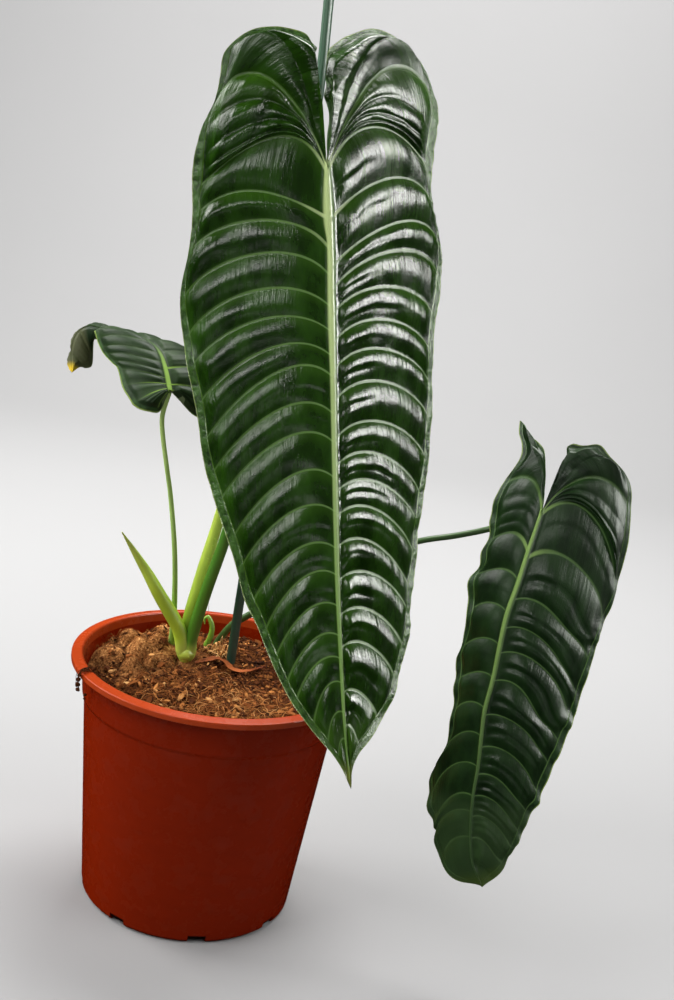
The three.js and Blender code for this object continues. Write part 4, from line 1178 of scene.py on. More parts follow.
MATT_BLADE = {
    **GLOSSY_BLADE,
    "dark": (0.008, 0.02, 0.006),
    "green": (0.02, 0.042, 0.012),
    "light": (0.045, 0.085, 0.025),
    "strip": (0.035, 0.085, 0.02),
    "vein": (0.09, 0.15, 0.045),
    "rib": (0.24, 0.39, 0.07),
    "rib_foot": (0.03, 0.06, 0.018),
    "under": (0.11, 0.14, 0.07),
    "under_vein": (0.07, 0.07, 0.035),
    "rough": 0.5,
    "edge_vein_show": 0.0,
    "rib_width": 2.6,
    "streak_depth": 0.15,
    "crinkle": 0.2,
    "vein_show": 0.14,
    "left_rough": 0.0,
    "rib_fade": (0.08, 0.3),
    "painted_apex_sheen": (0.08, 0.085, 0.038),
    "painted_sheen_from": 0.7,
    "painted_sheen_share": 0.75,
    "specular": 0.18,
    "vein_width": 0.45,
    "vein_reach": 40.0,
    "painted_cell_light": 0.1,
    "tip": (0.62, 0.44, 0.025),
    "tip_from": 0.93,
}


def pot_finish(settings):
    """Moulded plastic: flow marks drawn out round the wall, faint scuffs and dust, and painted light on
    the lip.
    """
    f = Finish("pot_plastic")
    place = f.place()
    flow = f.noise(f.stretched(place, (30, 30, 160)), 1.0, 4, 0.6)
    scuff = f.noise(f.stretched(place, (260, 260, 34)), 1.0, 5, 0.7).between(0.6, 0.78)
    dust = f.noise(place, 55, 5, 0.65).between(0.5, 0.75)
    base = f.mix(flow, tuple(c * 0.82 for c in settings.pot_colour), tuple(settings.pot_colour))
    base = f.mix(scuff * 0.02, base, (0.6, 0.2, 0.09))
    base = f.mix(dust * 0.015, base, (0.45, 0.18, 0.09))
    height = f.node("ShaderNodeSeparateXYZ", inputs={0: place}, output=2)
    # Painted light: the lip is mixed to a lighter orange; the same band gets a thin coat
    lip = height.between(LIP_PAINTED_LIGHT_FROM * MM, LIP_PAINTED_LIGHT_FULL * MM)
    base = f.mix(lip * 0.6, base, (0.42, 0.055, 0.01))
    height = f.noise(place, 900, 2, 0.5) * 0.02 + flow * 0.06 + scuff * 0.03
    return f.surface(
        Base_Color=base,
        Roughness=settings.pot_roughness + dust * 0.15 - scuff * 0.06,
        Specular_IOR_Level=0.1,
        Coat_Weight=lip * 0.15,
        Coat_Roughness=0.3,
        Normal=f.bump(height, 0.0006, 0.2),
    )


def mix_finish():
    """Crumbly filling: brown grains at two scales, yellower on the clods, and painted near-black shade in
    the hollows and on the filling's sides and bottom.
    """
    f = Finish("mix_crumbs")
    place = f.place()
    hollow, clod = f.read("hollow"), f.read("clod")
    broad = f.noise(place, 70, 4, 0.6)
    grains = f.noise(place, 620, 4, 0.75)
    crumbs = f.cells(place, 520)
    tone = broad * 0.5 + grains * 0.6 - crumbs * 0.12
    loose = f.ramp(tone, (0.38, (0.01, 0.003, 0.001)), (0.52, (0.08, 0.024, 0.006)),
                   (0.66, (0.24, 0.084, 0.022)), (0.85, (0.48, 0.22, 0.08)))
    packed = f.ramp(tone, (0.38, (0.035, 0.011, 0.003)), (0.5, (0.24, 0.095, 0.028)),
                    (0.62, (0.56, 0.27, 0.095)), (0.82, (0.78, 0.49, 0.22)))
    colour = f.mix(clod, loose, packed)
    # Painted shade: near black in the hollows and on the sides and bottom
    colour = f.mix(hollow * 0.92, colour, (0.012, 0.004, 0.002))
    height = grains + broad * 0.6 - crumbs * 0.5
    return f.surface(Base_Color=colour, Roughness=0.92, Specular_IOR_Level=0.05,
                     Normal=f.bump(height, 0.0012, 0.9))


def chip_finish():
    """Loose bark and fibre bits: each bit has its own tone, kept on its mesh."""
    f = Finish("mix_bits")
    tone = f.read("tone")
    place = f.place()
    fine = f.noise(f.stretched(place, (300, 300, 120)), 1.0, 4, 0.7)
    colour = f.ramp(
        tone * 0.7 + fine * 0.3 - 0.08,
        (0.0, (0.011, 0.003, 0.001)),
        (0.25, (0.08, 0.022, 0.005)),
        (0.48, (0.23, 0.073, 0.018)),
        (0.66, (0.42, 0.17, 0.045)),
        (0.82, (0.68, 0.4, 0.16)),
        (0.97, (0.36, 0.11, 0.022)),
    )
    return f.surface(Base_Color=colour, Roughness=0.85, Specular_IOR_Level=0.08,
                     Normal=f.bump(fine, 0.0006, 0.8))


def stem_finish(name, foot, middle, tip, rough=0.42, coat=0.1, streak=0.35, collar=None, specular=0.5):
    """Plant stem: colour runs from foot to tip, with fine lines along it and small pale specks.

    A collar is the share of the length over which the foot fades into another colour, and that colour."""
    f = Finish(name)
    share, turn = f.read("share"), f.read("turn")
    place = f.place()
    lines = f.noise(f.stretched(place, (700, 700, 26)), 1.0, 4, 0.65)
    specks = f.noise(place, 330, 3, 0.5).between(0.66, 0.74)
    colour = f.ramp(share, (0.0, foot), (0.5, middle), (1.0, tip))
    shade = f.noise(f.stretched(place, (40, 40, 14)), 1.0, 3, 0.6)
    colour = f.mix(shade.between(0.35, 0.75) * streak, colour, tuple(c * 1.7 + 0.01 for c in middle))
    colour = f.mix(specks * 0.3, colour, tuple(c * 2.2 + 0.03 for c in middle))
    if collar is not None:
        colour = f.mix(share.between(collar[0], collar[0] * 0.35), colour, collar[1])
    height = lines * 0.4 + specks * 0.3
    return f.surface(Base_Color=colour, Roughness=rough + (lines - 0.5) * 0.1, Coat_Weight=coat,
                     Coat_Roughness=0.25, Specular_IOR_Level=specular, Normal=f.bump(height, 0.0005, 0.7))


def inside_radius(z):
    """Inside radius of the pot's band at a height."""
    share = (z - BAND_FOOT) / (POT_HEIGHT - MOUTH_CORNER - BAND_FOOT)
    return BAND_RADIUS - WALL + share * (MOUTH_RADIUS - BAND_RADIUS + WALL)


def mix_height(x, y):
    """Height of the potting mix: a low mound and clumps, as bell curves, with a swell and a ripple."""
    cx, cy = MIX_MOUND_CENTRE
    mound = MIX_MOUND * np.exp(-((x - cx) ** 2 + (y - cy) ** 2) / MIX_MOUND_RADIUS**2)
    clumps = sum(h * np.exp(-((x - a) ** 2 + (y - b) ** 2) / (r * r)) for a, b, r, h in MIX_CLUMPS)
    swell = SWELL_HEIGHT * np.sin(x / SWELL_X + 0.6 * np.sin(y / SWELL_SWAY)) * np.cos(y / SWELL_Y)
    ripple = RIPPLE_HEIGHT * np.sin(x / RIPPLE_X + y / RIPPLE_Y)
    return MIX_LEVEL + mound + clumps + swell + ripple


def clod_share(x, y):
    """How far the mix at a place is made of crumbly clods: 1 at the back left."""
    cx, cy = CLOD_CENTRE
    return np.exp(-(((x - cx) ** 2 + (y - cy) ** 2) / CLOD_SPREAD**2) ** 2)


def clods(x, y):
    """Rounded lumps with sharp valleys between them: the size of a noise, from 0 to about 1."""
    return np.abs(lattice_noise(x / CLOD_GRAIN + 90, y / CLOD_GRAIN + 90, 12)) ** 0.6


def surface_height(x, y):
    """The mix's fine surface: its height with clods at the back left and crumbs everywhere."""
    share = clod_share(x, y)
    crumbs = np.abs(rough_noise(x / CRUMB_GRAIN + 70, y / CRUMB_GRAIN + 70, 3, 4)) * CRUMB_HEIGHT
    crumbs = crumbs - CRUMB_DEPTH
    return mix_height(x, y) + CLOD_HEIGHT * share * (clods(x, y) - 0.35) + crumbs * (1 - 0.4 * share)


def rounded(profile, radius, steps=5):
    """A profile with each inner corner replaced by a bow that starts and ends the radius away from it."""
    p = np.asarray(profile, float)
    t = np.linspace(0, 1, steps)[:, None]
    out = [p[:1]]
    for before, corner, after in zip(p, p[1:], p[2:]):
        reach = min(radius, 0.42 * np.linalg.norm(corner - before), 0.42 * np.linalg.norm(after - corner))
        a = corner + (before - corner) / np.linalg.norm(before - corner) * reach
        b = corner + (after - corner) / np.linalg.norm(after - corner) * reach
        support = [a + (a - corner) * 0.15, b + (b - corner) * 0.15]
        bow = a * (1 - t) ** 2 + corner * 2 * t * (1 - t) + b * t**2
        out += [support[:1], bow, support[1:]]
    out.append(p[-1:])
    return np.concatenate(out)


def wall_rows(low, high):
    """Profile points up the pot's wall, so that a cut at its foot leaves the shading above alone."""
    shares = ((z - BASE_CORNER) / (GROOVE_HEIGHT - BASE_CORNER) for z in WALL_ROWS)
    return [(low + (high - low) * share, z) for share, z in zip(shares, WALL_ROWS)]


def pot_profile():
    """Radius and height of each corner, up the outside and down the inside."""
    lip_back = LIP_RADIUS - LIP_THICKNESS
    lip_foot = POT_HEIGHT - LIP_FACE
    return [
        (0, 0),
        (BASE_RADIUS - BASE_CORNER, 0),
        (BASE_RADIUS, BASE_CORNER),
        *wall_rows(BASE_RADIUS, GROOVE_RADIUS),
        (GROOVE_RADIUS, GROOVE_HEIGHT),
        (BAND_RADIUS, BAND_FOOT),
        (BAND_TOP_RADIUS, POT_HEIGHT - LIP_THICKNESS - 0.5),
        (lip_back, POT_HEIGHT - LIP_DROP - LIP_THICKNESS),
        (lip_back, lip_foot),
        (LIP_RADIUS, lip_foot),
        (LIP_RADIUS, POT_HEIGHT - LIP_DROP - 0.3),
        (MOUTH_RADIUS + LIP_INSET, POT_HEIGHT),
        (MOUTH_RADIUS, POT_HEIGHT - MOUTH_CORNER),
        (BAND_RADIUS - WALL, BAND_FOOT),
        (GROOVE_RADIUS - WALL, GROOVE_HEIGHT),
        *wall_rows(BASE_RADIUS - WALL, GROOVE_RADIUS - WALL)[::-1],
        (BASE_RADIUS - WALL, FLOOR),
        (DRAIN_INNER_RADIUS - 3, FLOOR),
        (0, FLOOR),
    ]


def turned(profile, sides):
    """Grid of a profile (radius, height) turned about the pot's axis."""
    angle = circle(sides)
    r, z = np.asarray(profile).T
    ring = np.stack([np.cos(angle), np.sin(angle)], -1)
    flat = r[:, None, None] * ring
    points = np.concatenate([flat, np.broadcast_to(z[:, None, None], flat.shape[:2] + (1,))], -1)
    return points.reshape(-1, 3), grid_faces(len(r), sides, closed=True)


def drain_cutters():
    """The boxes that cut the drain slots through the base corner, turned about the pot's axis."""
    corners = np.array([[x, y, z] for x in (0, 1) for y in (-0.5, 0.5) for z in (-1, 1)], float)
    corners = corners * [LIP_RADIUS - DRAIN_INNER_RADIUS, DRAIN_WIDTH, DRAIN_HEIGHT]
    corners[:, 0] += DRAIN_INNER_RADIUS
    box = np.array([[0, 1, 3, 2], [4, 6, 7, 5], [0, 4, 5, 1], [2, 3, 7, 6], [0, 2, 6, 4], [1, 5, 7, 3]])
    points, quads = [], []
    for i in range(DRAIN_SLOTS):
        a = math.radians(FIRST_DRAIN_ANGLE + 360 * i / DRAIN_SLOTS)
        turn = np.array([[math.cos(a), math.sin(a), 0], [-math.sin(a), math.cos(a), 0], [0, 0, 1]])
        points.append(corners @ turn)
        quads.append(box + 8 * i)
    return np.concatenate(points), np.concatenate(quads)


def cut(made, cutter):
    """Takes the cutter's volume out of a piece, and removes the cutter."""
    boolean = made.modifiers.new("cut", "BOOLEAN")
    boolean.operation = "DIFFERENCE"
    boolean.solver = "EXACT"
    boolean.object = cutter
    graph = bpy.context.evaluated_depsgraph_get()
    result = bpy.data.meshes.new_from_object(made.evaluated_get(graph))
    made.modifiers.clear()
    made.data = result
    bpy.data.objects.remove(cutter)


def turns(angles, first, second):
    """Matrices that turn by each angle from the first axis towards the second."""
    way = np.tile(np.eye(3), (len(angles), 1, 1))
    way[:, first, first] = way[:, second, second] = np.cos(angles)
    way[:, second, first] = np.sin(angles)
    way[:, first, second] = -np.sin(angles)
    return way


def scattered_bits(settings, rng):
    """Loose bark bits on the mix: six-sided flakes of random size, laid and tilted at random, with none
    where a stem stands. They are darker at the back right, a painted shadow.

    Returns points, quads and each point's tone."""
    count = settings.bit_count
    limit = inside_radius(MIX_LEVEL) - 4
    radius = limit * np.sqrt(rng.uniform(0, 1, count))
    angle = rng.uniform(0, 2 * np.pi, count)
    x, y = radius * np.cos(angle), radius * np.sin(angle)
    long = np.clip(rng.lognormal(*BIT_LENGTH, count), *BIT_LIMITS)
    wide = long * rng.uniform(*BIT_WIDTH, count)
    thick = np.clip(long * rng.uniform(*BIT_THICKNESS, count), *BIT_THICK_LIMITS)
    clear = rng.uniform(0, 1, count) > 0.8 * clod_share(x, y)
    for (a, b), keep in STANDING:
        clear &= np.hypot(x - a, y - b) > keep + long * 0.6
    x, y, long, wide, thick = (q[clear] for q in (x, y, long, wide, thick))
    n = len(x)
    six = circle(6)
    jag = rng.uniform(*BIT_JAG, (n, 6))
    outline = np.stack([np.cos(six) * jag * long[:, None] / 2, np.sin(six) * jag * wide[:, None] / 2], -1)
    bow = rng.uniform(-0.15, 0.15, (n, 1)) * outline[..., 0] ** 2 / long[:, None]
    low = np.concatenate([outline, (bow - thick[:, None] / 2)[..., None]], -1)
    high = np.concatenate([outline * 0.86, (bow + thick[:, None] / 2)[..., None]], -1)
    shape = np.concatenate([low, high], 1)
    yaw = rng.uniform(0, 2 * np.pi, n)
    tilt, roll = rng.normal(0, BIT_TILT, n), rng.normal(0, BIT_TILT, n)
    way = turns(yaw, 0, 1) @ turns(tilt, 2, 0) @ turns(roll, 1, 2)
    shape = np.einsum("nij,nkj->nki", way, shape)
    rise = surface_height(x, y) + rng.uniform(-0.2, 0.6, n) * thick + np.abs(np.sin(tilt)) * long * 0.2
    shape = shape + np.stack([x, y, rise], -1)[:, None]
    side = np.arange(6)
    following = (side + 1) % 6
    walls = np.stack([side, following, following + 6, side + 6], -1)
    caps = np.array([[0, 3, 2, 1], [0, 5, 4, 3], [6, 7, 8, 9], [6, 9, 10, 11]])
    quads = (np.concatenate([walls, caps])[None] + 12 * np.arange(n)[:, None, None]).reshape(-1, 4)
    # Painted shadow: bits at the back right get darker tones
    painted_shadow_back_right = np.exp(-((x - 45) ** 2 + (y - 50) ** 2) / 50**2)
    tone = rng.beta(1.0, 1.5, n) - 0.12 * painted_shadow_back_right
    return shape.reshape(-1, 3), quads, np.repeat(tone, 12)


def fibres(count, rng, scatter, centre, length, rise, thickness, tone):
    """Loose fibres: thin four-sided threads along random bows over the mix."""
    q = np.linspace(0, 1, 7)
    x0 = centre[0] + rng.normal(0, scatter, count)
    y0 = centre[1] + rng.normal(0, scatter, count)
    heading = rng.uniform(0, 2 * np.pi, count)
    turn = rng.normal(0, 1.5, count)
    long = length * rng.lognormal(0, 0.4, count)
    way = heading[:, None] + turn[:, None] * (q - 0.5)
    step = long[:, None] / (len(q) - 1)
    x = x0[:, None] + np.cumsum(np.cos(way) * step, 1)
    y = y0[:, None] + np.cumsum(np.sin(way) * step, 1)
    limit = inside_radius(MIX_LEVEL) - 2
    far = np.maximum(np.hypot(x, y) / limit, 1)
    x, y = x / far, y / far
    lift = rise * rng.lognormal(-0.2, 0.6, count)[:, None] * np.sin(np.pi * q) ** 0.7
    z = surface_height(x, y) + 0.3 + lift + rng.normal(0, 0.2, x.shape)
    line = np.stack([x, y, z], -1)
    along = unit(np.gradient(line, axis=1))
    side = unit(np.cross(along, [0.0, 0.0, 1.0]))
    up = np.cross(side, along)
    r = thickness * rng.uniform(0.6, 1.4, count)[:, None] * (1 - 0.6 * np.abs(2 * q - 1))
    ring = [side * c + up * s for c, s in ((1, 0), (0, 1), (-1, 0), (0, -1))]
    points = np.stack([line + d * r[..., None] for d in ring], 2)
    rows = grid_faces(len(q), 4, closed=True)[:, ::-1]
    last = 4 * (len(q) - 1)
    ends = np.array([[0, 1, 2, 3], [last + 3, last + 2, last + 1, last]])
    firsts = 4 * len(q) * np.arange(count)
    quads = (np.concatenate([rows, ends])[None] + firsts[:, None, None]).reshape(-1, 4)
    tones = np.repeat(tone + rng.uniform(-0.12, 0.12, count), 4 * len(q))
    return points.reshape(-1, 3), quads, tones


def strand(line, thickness, tone):
    """One loose strand: a thin tube along a line."""
    points, quads, _ = tube(line, (thickness, thickness * 0.8, thickness * 0.3), 6, 24)
    return points, quads, np.full(len(points), tone)


def crumb(x, y, z, size):
    """One crumb: a lumpy ball."""
    turn, tilt = circle(10), np.linspace(0, np.pi, 7)[:, None]
    wide = np.sin(tilt)
    lumps = 0.5 * size * (1 + 0.35 * np.sin(3 * turn + z) * wide**2)
    ball = np.stack([wide * np.cos(turn), wide * np.sin(turn), np.cos(tilt) + 0 * turn], -1)
    points = (ball * lumps[..., None]).reshape(-1, 3) + [x, y, z]
    return points, grid_faces(7, 10, closed=True)[:, ::-1], np.full(len(points), 0.1)


def gathered(parts):
    """Joins lists of points, quads and tones into one."""
    points, quads, tones, first = [], [], [], 0
    for p, q, t in parts:
        points.append(p)
        quads.append(q + first)
        tones.append(t)
        first += len(p)
    return np.concatenate(points), np.concatenate(quads), np.concatenate(tones)


def crease(share, place, width):
    """A sunken line across a cell: 1 at the place, falling steeply above it and gently below."""
    off = (share - place) / width
    return np.exp(-np.where(off < 0, off * off * 2.5, off * off * 0.6))


def lobe_folds(k, t, run, seed):
    """Folds in the two cells above a blade's junction, of a height near 1: ridges along the veins, some in
    each cell, broken up by noise."""
    ridges = np.abs(np.sin(np.pi * np.where(k < 1, *LOBE_RIDGES) * k)) ** 0.7
    folds = ridges * (1 + 0.8 * lattice_noise(run / 17 + 5, k * 3, seed + 6))
    folds = folds + 0.3 * lattice_noise(run / 6, k * 6 + 2, seed + 7)
    return folds * ease(k, 2, 1.85) * ease(t, 0.1, 0.3) * ease(t, 0.95, 0.8)


def wrinkles(shape, look):
    """Wrinkles of half a hanging blade.

    A crease splits each cell, of a random depth, place and reach. Ripples are noise along the veins that
    dies away at them, pleats are waves across a cell beside the rib, and the lobe cells are folded. The
    margin waves: noise along the midrib that grows towards the margin."""
    k, s, t, v, run = (shape[key] for key in ("k", "s", "t", "v", "run"))
    draw = np.random.default_rng(look["draw"]).uniform(0, 1, (4, 64))[:, np.floor(k).astype(int)]
    depth, reach, place = (look[key][0] + look[key][1] * draw[i] for i, key in enumerate(CREASE_DRAWS))
    height, length, seed = look["sway"]
    place = place + height * lattice_noise(run / length, k * 0 + 3.3, seed)
    split = crease(s, place, look["width"]) * depth * ease(t, *look["starts"])
    split = split * ease(t, reach, reach - look["ends"]) * ease(k, 1, 2)
    split = split * np.clip(shape["gap"] / DEEP_GAP, 0, look["deepest"])
    lift = -split
    for height, length, rows, shift, seed in look["ripples"]:
        ripple = lattice_noise(run / length, k * rows + shift, seed)
        lift = lift + height * ripple * arch(s) * shape["fade"]
    pleats = np.sin(6 * np.pi * s) * ease(t, 0.02, 0.06) * ease(t, 0.34, 0.12) * ease(v, 120, 190)
    folds = lobe_folds(k, t, run, look["fold_seed"]) * np.where(k < 1, *look["folds"])
    lift = lift + look["pleats"] * pleats + folds
    for height, length, column, seed, start in look["waves"]:
        along = lattice_noise(v / length + 50, 0 * v + column * shape["side"], seed)
        lift = lift + height * along * ease(t, start, 1)
    return lift


def arching_half(spec, side, shares_of_midrib):
    """Grids of one half of the arching blade: each vein is a bulging arc from the midrib to the margin,
    with pleats of four to a cell. The rib faces the viewer at the junction and turns left along it."""
    data = spec[side]
    sign = 1.0 if side == "right" else -1.0
    count = len(data["veins"])
    numbers = np.arange(count + 2)
    origins = (0, *(o for o, _ in data["veins"]), 1)
    reaches = (0, *(r for _, r in data["veins"]), 1)
    k = vein_rows(origins, count, shares_of_midrib)
    q = np.where(k <= 1, 0, curve(origins, k, numbers)[:, 0])
    root = curve(spec["midrib"], q)
    end = curve(data["margin"], curve(reaches, k, numbers)[:, 0])
    along = heading(spec["midrib"], q, 0.02)
    across = end - root
    length = np.linalg.norm(across, axis=1)[:, None]
    chord = np.maximum(length, 0.01)
    normal = unit(np.cross(along, sign * across))[:, None]
    facing = np.stack([-0.1 - 0.7 * q, -0.8 + 0.4 * q, 0.6 + 0.2 * q * (1 - q)], -1)
    face = unit(facing - along * dot(facing, along))[:, None]
    width = spread(spec["ribWidth"], q)[:, None]
    start = np.minimum(width / chord, RIB_MOST)
    edge = np.clip(1 - spec["strip"] / chord, *spec["edge"])
    landing = curve(data["margin"], np.array(reaches, float))
    below = np.floor(np.minimum(k, count)).astype(int)
    gap = (np.linalg.norm(landing[below + 1] - landing[below], axis=1) * 0.6)[:, None]
    t = blade_shares(start, edge)
    s = between_veins(k, t, count)
    fade = pillow_fade(t, start, edge, spec["rise"])
    fine = (4 * k[:, None]) % 1
    lift = 4 * data["bulge"] * length * t * (1 - t)
    lift = lift + spec["pillow"] * gap * (arch(s) + spec["pleats"] * arch(fine)) * fade
    turn = (ease(t, 0 * t, start) * (chord > 1))[..., None]
    out = unit(face * (1 - turn) + normal * turn)
    run = t * length
    fields = {
        "number": k[:, None],
        "run": run,
        "to_edge": (edge - t) * length,
        "to_margin": length - run,
        "gap": gap,
        "rib": run * spec["ribWidth"][0] / width + np.where(length < 1, 9, 0),
        "down": q[:, None],
    }
    sheet = root[:, None] + across[:, None] * t[..., None]
    return *two_faces(sheet, out, lift, t / start, width, fields["to_margin"], spec["thinning"]), fields


def ribbon_grid(spec, steps=90, columns=14):
    """Closed dried ribbon: a thin band along a line, its edges curled up and its face rippled."""
    q = np.linspace(0, 1, steps + 1)
    centre = curve(spec["line"], q)
    along = heading(spec["line"], q)
    twist = np.stack([0.55 * np.sin(5 * q), 0 * q, 1 + 0 * q], -1)
    across = unit(np.cross(along, twist))
    up = np.cross(across, along)
    w = spread(spec["width"], q)[:, None]
    x = np.linspace(-1, 1, columns)[None, :]
    height = 0.5 + 0.8 * x**2 + 0.35 * lattice_noise(q[:, None] * 26, x * 2.5 + 9, 3)
    ragged = w * x * (1 + 0.12 * lattice_noise(q[:, None] * 40, 0 * x + 4, 8))
    sheet = centre[:, None] + across[:, None] * ragged[..., None] + up[:, None] * height[..., None]
    over = sheet + up[:, None] * 0.25
    under = sheet - up[:, None] * 0.25
    loop = np.concatenate([over, under[:, ::-1]], 1)
    return capped(loop, loop.mean(1), q, 0)


# Colours of foot, middle and tip
CROWN_PALE = (0.48, 0.6, 0.09)
CROWN_COLOURS = ((0.16, 0.12, 0.025), (0.44, 0.56, 0.05), CROWN_PALE)
# The stake's colours run from dark at the foot to light at the tip: painted shade low down, painted light
# higher up
STAKE_PAINTED_LIGHT_COLOURS = ((0.012, 0.045, 0.03), (0.016, 0.06, 0.036), (0.034, 0.095, 0.048))
DRIED_COLOURS = ((0.05, 0.014, 0.005), (0.26, 0.066, 0.014), (0.1, 0.02, 0.006))


class PotSettings(bpy.types.PropertyGroup):
    """Colour, gloss and edges of the pot"""

    pot_colour: bpy.props.FloatVectorProperty(
        name="Pot colour", description="Plastic of the pot", default=(0.2, 0.0115, 0.0003), subtype="COLOR"
    )
    pot_roughness: bpy.props.FloatProperty(
        name="Pot roughness", description="How matt the plastic is", default=0.27, min=0, max=1,
        subtype="FACTOR",
    )
    pot_sides: bpy.props.IntProperty(
        name="Pot sides", description="Facets round the pot", default=192, min=32, max=512
    )
    edge_radius: bpy.props.FloatProperty(
        name="Edge radius", description="Rounding of the edges in millimetres", default=1.1, min=0.1
    )


class MixSettings(bpy.types.PropertyGroup):
    """How much loose matter lies on the mix"""

    bit_count: bpy.props.IntProperty(
        name="Bark bits", description="Loose bits on the mix", default=4200, min=0, max=9000
    )
    fibre_count: bpy.props.IntProperty(
        name="Fibres", description="Loose fibres on the mix", default=1500, min=0, max=3000
    )
    seed: bpy.props.IntProperty(name="Seed", description="Seed of the scatter", default=7)


class StageSettings(bpy.types.PropertyGroup):
    """Floor and light"""

    floor_colour: bpy.props.FloatVectorProperty(
        name="Floor colour", description="Floor and backdrop", default=(0.31, 0.31, 0.315), subtype="COLOR"
    )
    key_power: bpy.props.FloatProperty(
        name="Key light", description="Large soft light at the right", default=43, unit="POWER"
    )
    fill_power: bpy.props.FloatProperty(
        name="Fill light", description="Soft light at the left", default=24, unit="POWER"
    )
    sky_strength: bpy.props.FloatProperty(
        name="Sky", description="Even light from all round", default=0.1, min=0
    )


class PLANT_OT_pot(bpy.types.Operator):
    """Turned nursery pot with its band, rolled lip and drain slots"""

    bl_idname = "house_plant.pot"
    bl_label = "Pot"

    def execute(self, context):
        s = context.scene.house_plant_pot
        points, quads = turned(rounded(pot_profile(), s.edge_radius), s.pot_sides)
        pot = piece("pot_turned", points, quads)
        cutter = piece("drain_cutters", *drain_cutters())
        cut(pot, cutter)
        pot.data.set_sharp_from_angle(angle=math.radians(SHARP_ANGLE))
        finish_piece(pot, pot_finish(s), "pot_plastic", "pot")
        return {"FINISHED"}


class PLANT_OT_mix(bpy.types.Operator):
    """Bark mix: a closed filling with an uneven top, loose bits and fibres"""

    bl_idname = "house_plant.mix"
    bl_label = "Potting mix"

    def execute(self, context):
        s = context.scene.house_plant_mix
        rng = np.random.default_rng(s.seed)
        self.filling()
        self.bits(s, rng)
        self.threads(s, rng)
        return {"FINISHED"}

    def filling(self):
        """Rings from the pot's floor up to the rim, then in over the uneven top to its middle."""
        sides = FILLING_SIDES
        angle = circle(sides)
        rim = inside_radius(MIX_LEVEL - 4) - MIX_GAP
        radii = rim * np.linspace(1, 0, FILLING_RINGS)
        x = radii[:, None] * np.sin(angle)
        y = -radii[:, None] * np.cos(angle)
        z = mix_height(x, y)
        fine = surface_height(x, y) - z
        z = z + fine * ease((rim - radii)[:, None], 0, 4)
        top = np.stack([x, y, z], -1)
        foot = FLOOR + MIX_GAP
        wall = (
            (0, foot),
            (BASE_RADIUS - WALL - MIX_GAP - 0.1, foot),
            (GROOVE_RADIUS - WALL - MIX_GAP * 2, GROOVE_HEIGHT),
            (BAND_RADIUS - WALL - MIX_GAP, BAND_FOOT + 1),
        )
        rings = [np.stack([r * np.sin(angle), -r * np.cos(angle), h + 0 * angle], -1) for r, h in wall]
        points = np.concatenate([np.stack(rings), top])
        quads = grid_faces(len(points), sides, closed=True)
        # Painted shade mask: 1 on the filling's sides and bottom, and in the hollows between the clods
        hollow = np.concatenate([np.ones((4, sides)), ease(clods(x, y), 0.42, 0.1) * clod_share(x, y)])
        clod = np.concatenate([np.zeros((4, sides)), clod_share(x, y)])
        fields = {"hollow": hollow.ravel(), "clod": clod.ravel()}
        made = piece("mix_filling", points.reshape(-1, 3), quads, fields)
        finish_piece(made, mix_finish(), "mix", "potting_mix")

    def bits(self, s, rng):
        """Flat-shaded bark bits."""
        points, quads, tone = scattered_bits(s, rng)
        made = piece("mix_bark_bits", points, quads, {"tone": tone}, weld=1e-6)
        made.data.polygons.foreach_set("use_smooth", np.zeros(len(made.data.polygons), bool))
        finish_piece(made, chip_finish(), "mix")

    def threads(self, s, rng):
        """Fibres, single strands and the crumbs on the lip."""
        groups = [fibres(s.fibre_count // part, rng, *look) for part, *look in FIBRE_GROUPS]
        groups.append(fibres(FRAYED_FIBRES, rng, *FRAYED_CLUMP))
        groups += [strand(*one) for one in STRANDS]
        groups += [crumb(*one) for one in CRUMBS]
        points, quads, tone = gathered(groups)
        made = piece("mix_fibres", points, quads, {"tone": tone}, weld=1e-6)
        finish_piece(made, bpy.data.materials["mix_bits"], "mix")


def stake_ridges(share, angle):
    """Height of the stake's nine lengthwise ridges and of its slow waves."""
    return 0.05 * np.cos(9 * angle) + 0.04 * np.sin(60 * share) * np.cos(2 * angle)


class PLANT_OT_stake(bpy.types.Operator):
    """Round coated stake with faint lengthwise ridges"""

    bl_idname = "house_plant.stake"
    bl_label = "Stake"

    def execute(self, context):
        made = piece("stake_rod", *tube(STAKE_LINE, (STAKE_RADIUS, STAKE_RADIUS), 36, 120, stake_ridges))
        look = stem_finish("stake_coating", *STAKE_PAINTED_LIGHT_COLOURS, streak=0.25)
        finish_piece(made, look, "stake_coating", "stake")
        return {"FINISHED"}


def stem_swell(taper):
    """Height of a stem's slow waves, less the taper of its foot over a share of its length."""

    def swell(share, angle):
        waves = STEM_WAVE * np.sin(3 * angle + 20 * share) * np.sin(np.pi * share)
        return waves - FOOT_TAPER * ease(share, taper, 0) if taper else waves

    return swell


class PLANT_OT_stems(bpy.types.Operator):
    """Crown, leaf stalks and young shoots"""

    bl_idname = "house_plant.stems"
    bl_label = "Stems"

    def execute(self, context):
        for node, stem in STEMS.items():
            shape = tube(stem["line"], stem["radius"], 28, 200, stem_swell(stem.get("taper")))
            collar = (stem["collar"], CROWN_PALE) if "collar" in stem else None
            skin = stem_finish(node + "_skin", *stem["colours"], collar=collar)
            finish_piece(piece(node + "_stem", *shape), skin, stem["slot"], node)
        made = piece("crown_base", *tube(CROWN["line"], CROWN["radius"], 40, 40))
        finish_piece(made, stem_finish("crown_skin", *CROWN_COLOURS), "crown", "crown")
        return {"FINISHED"}


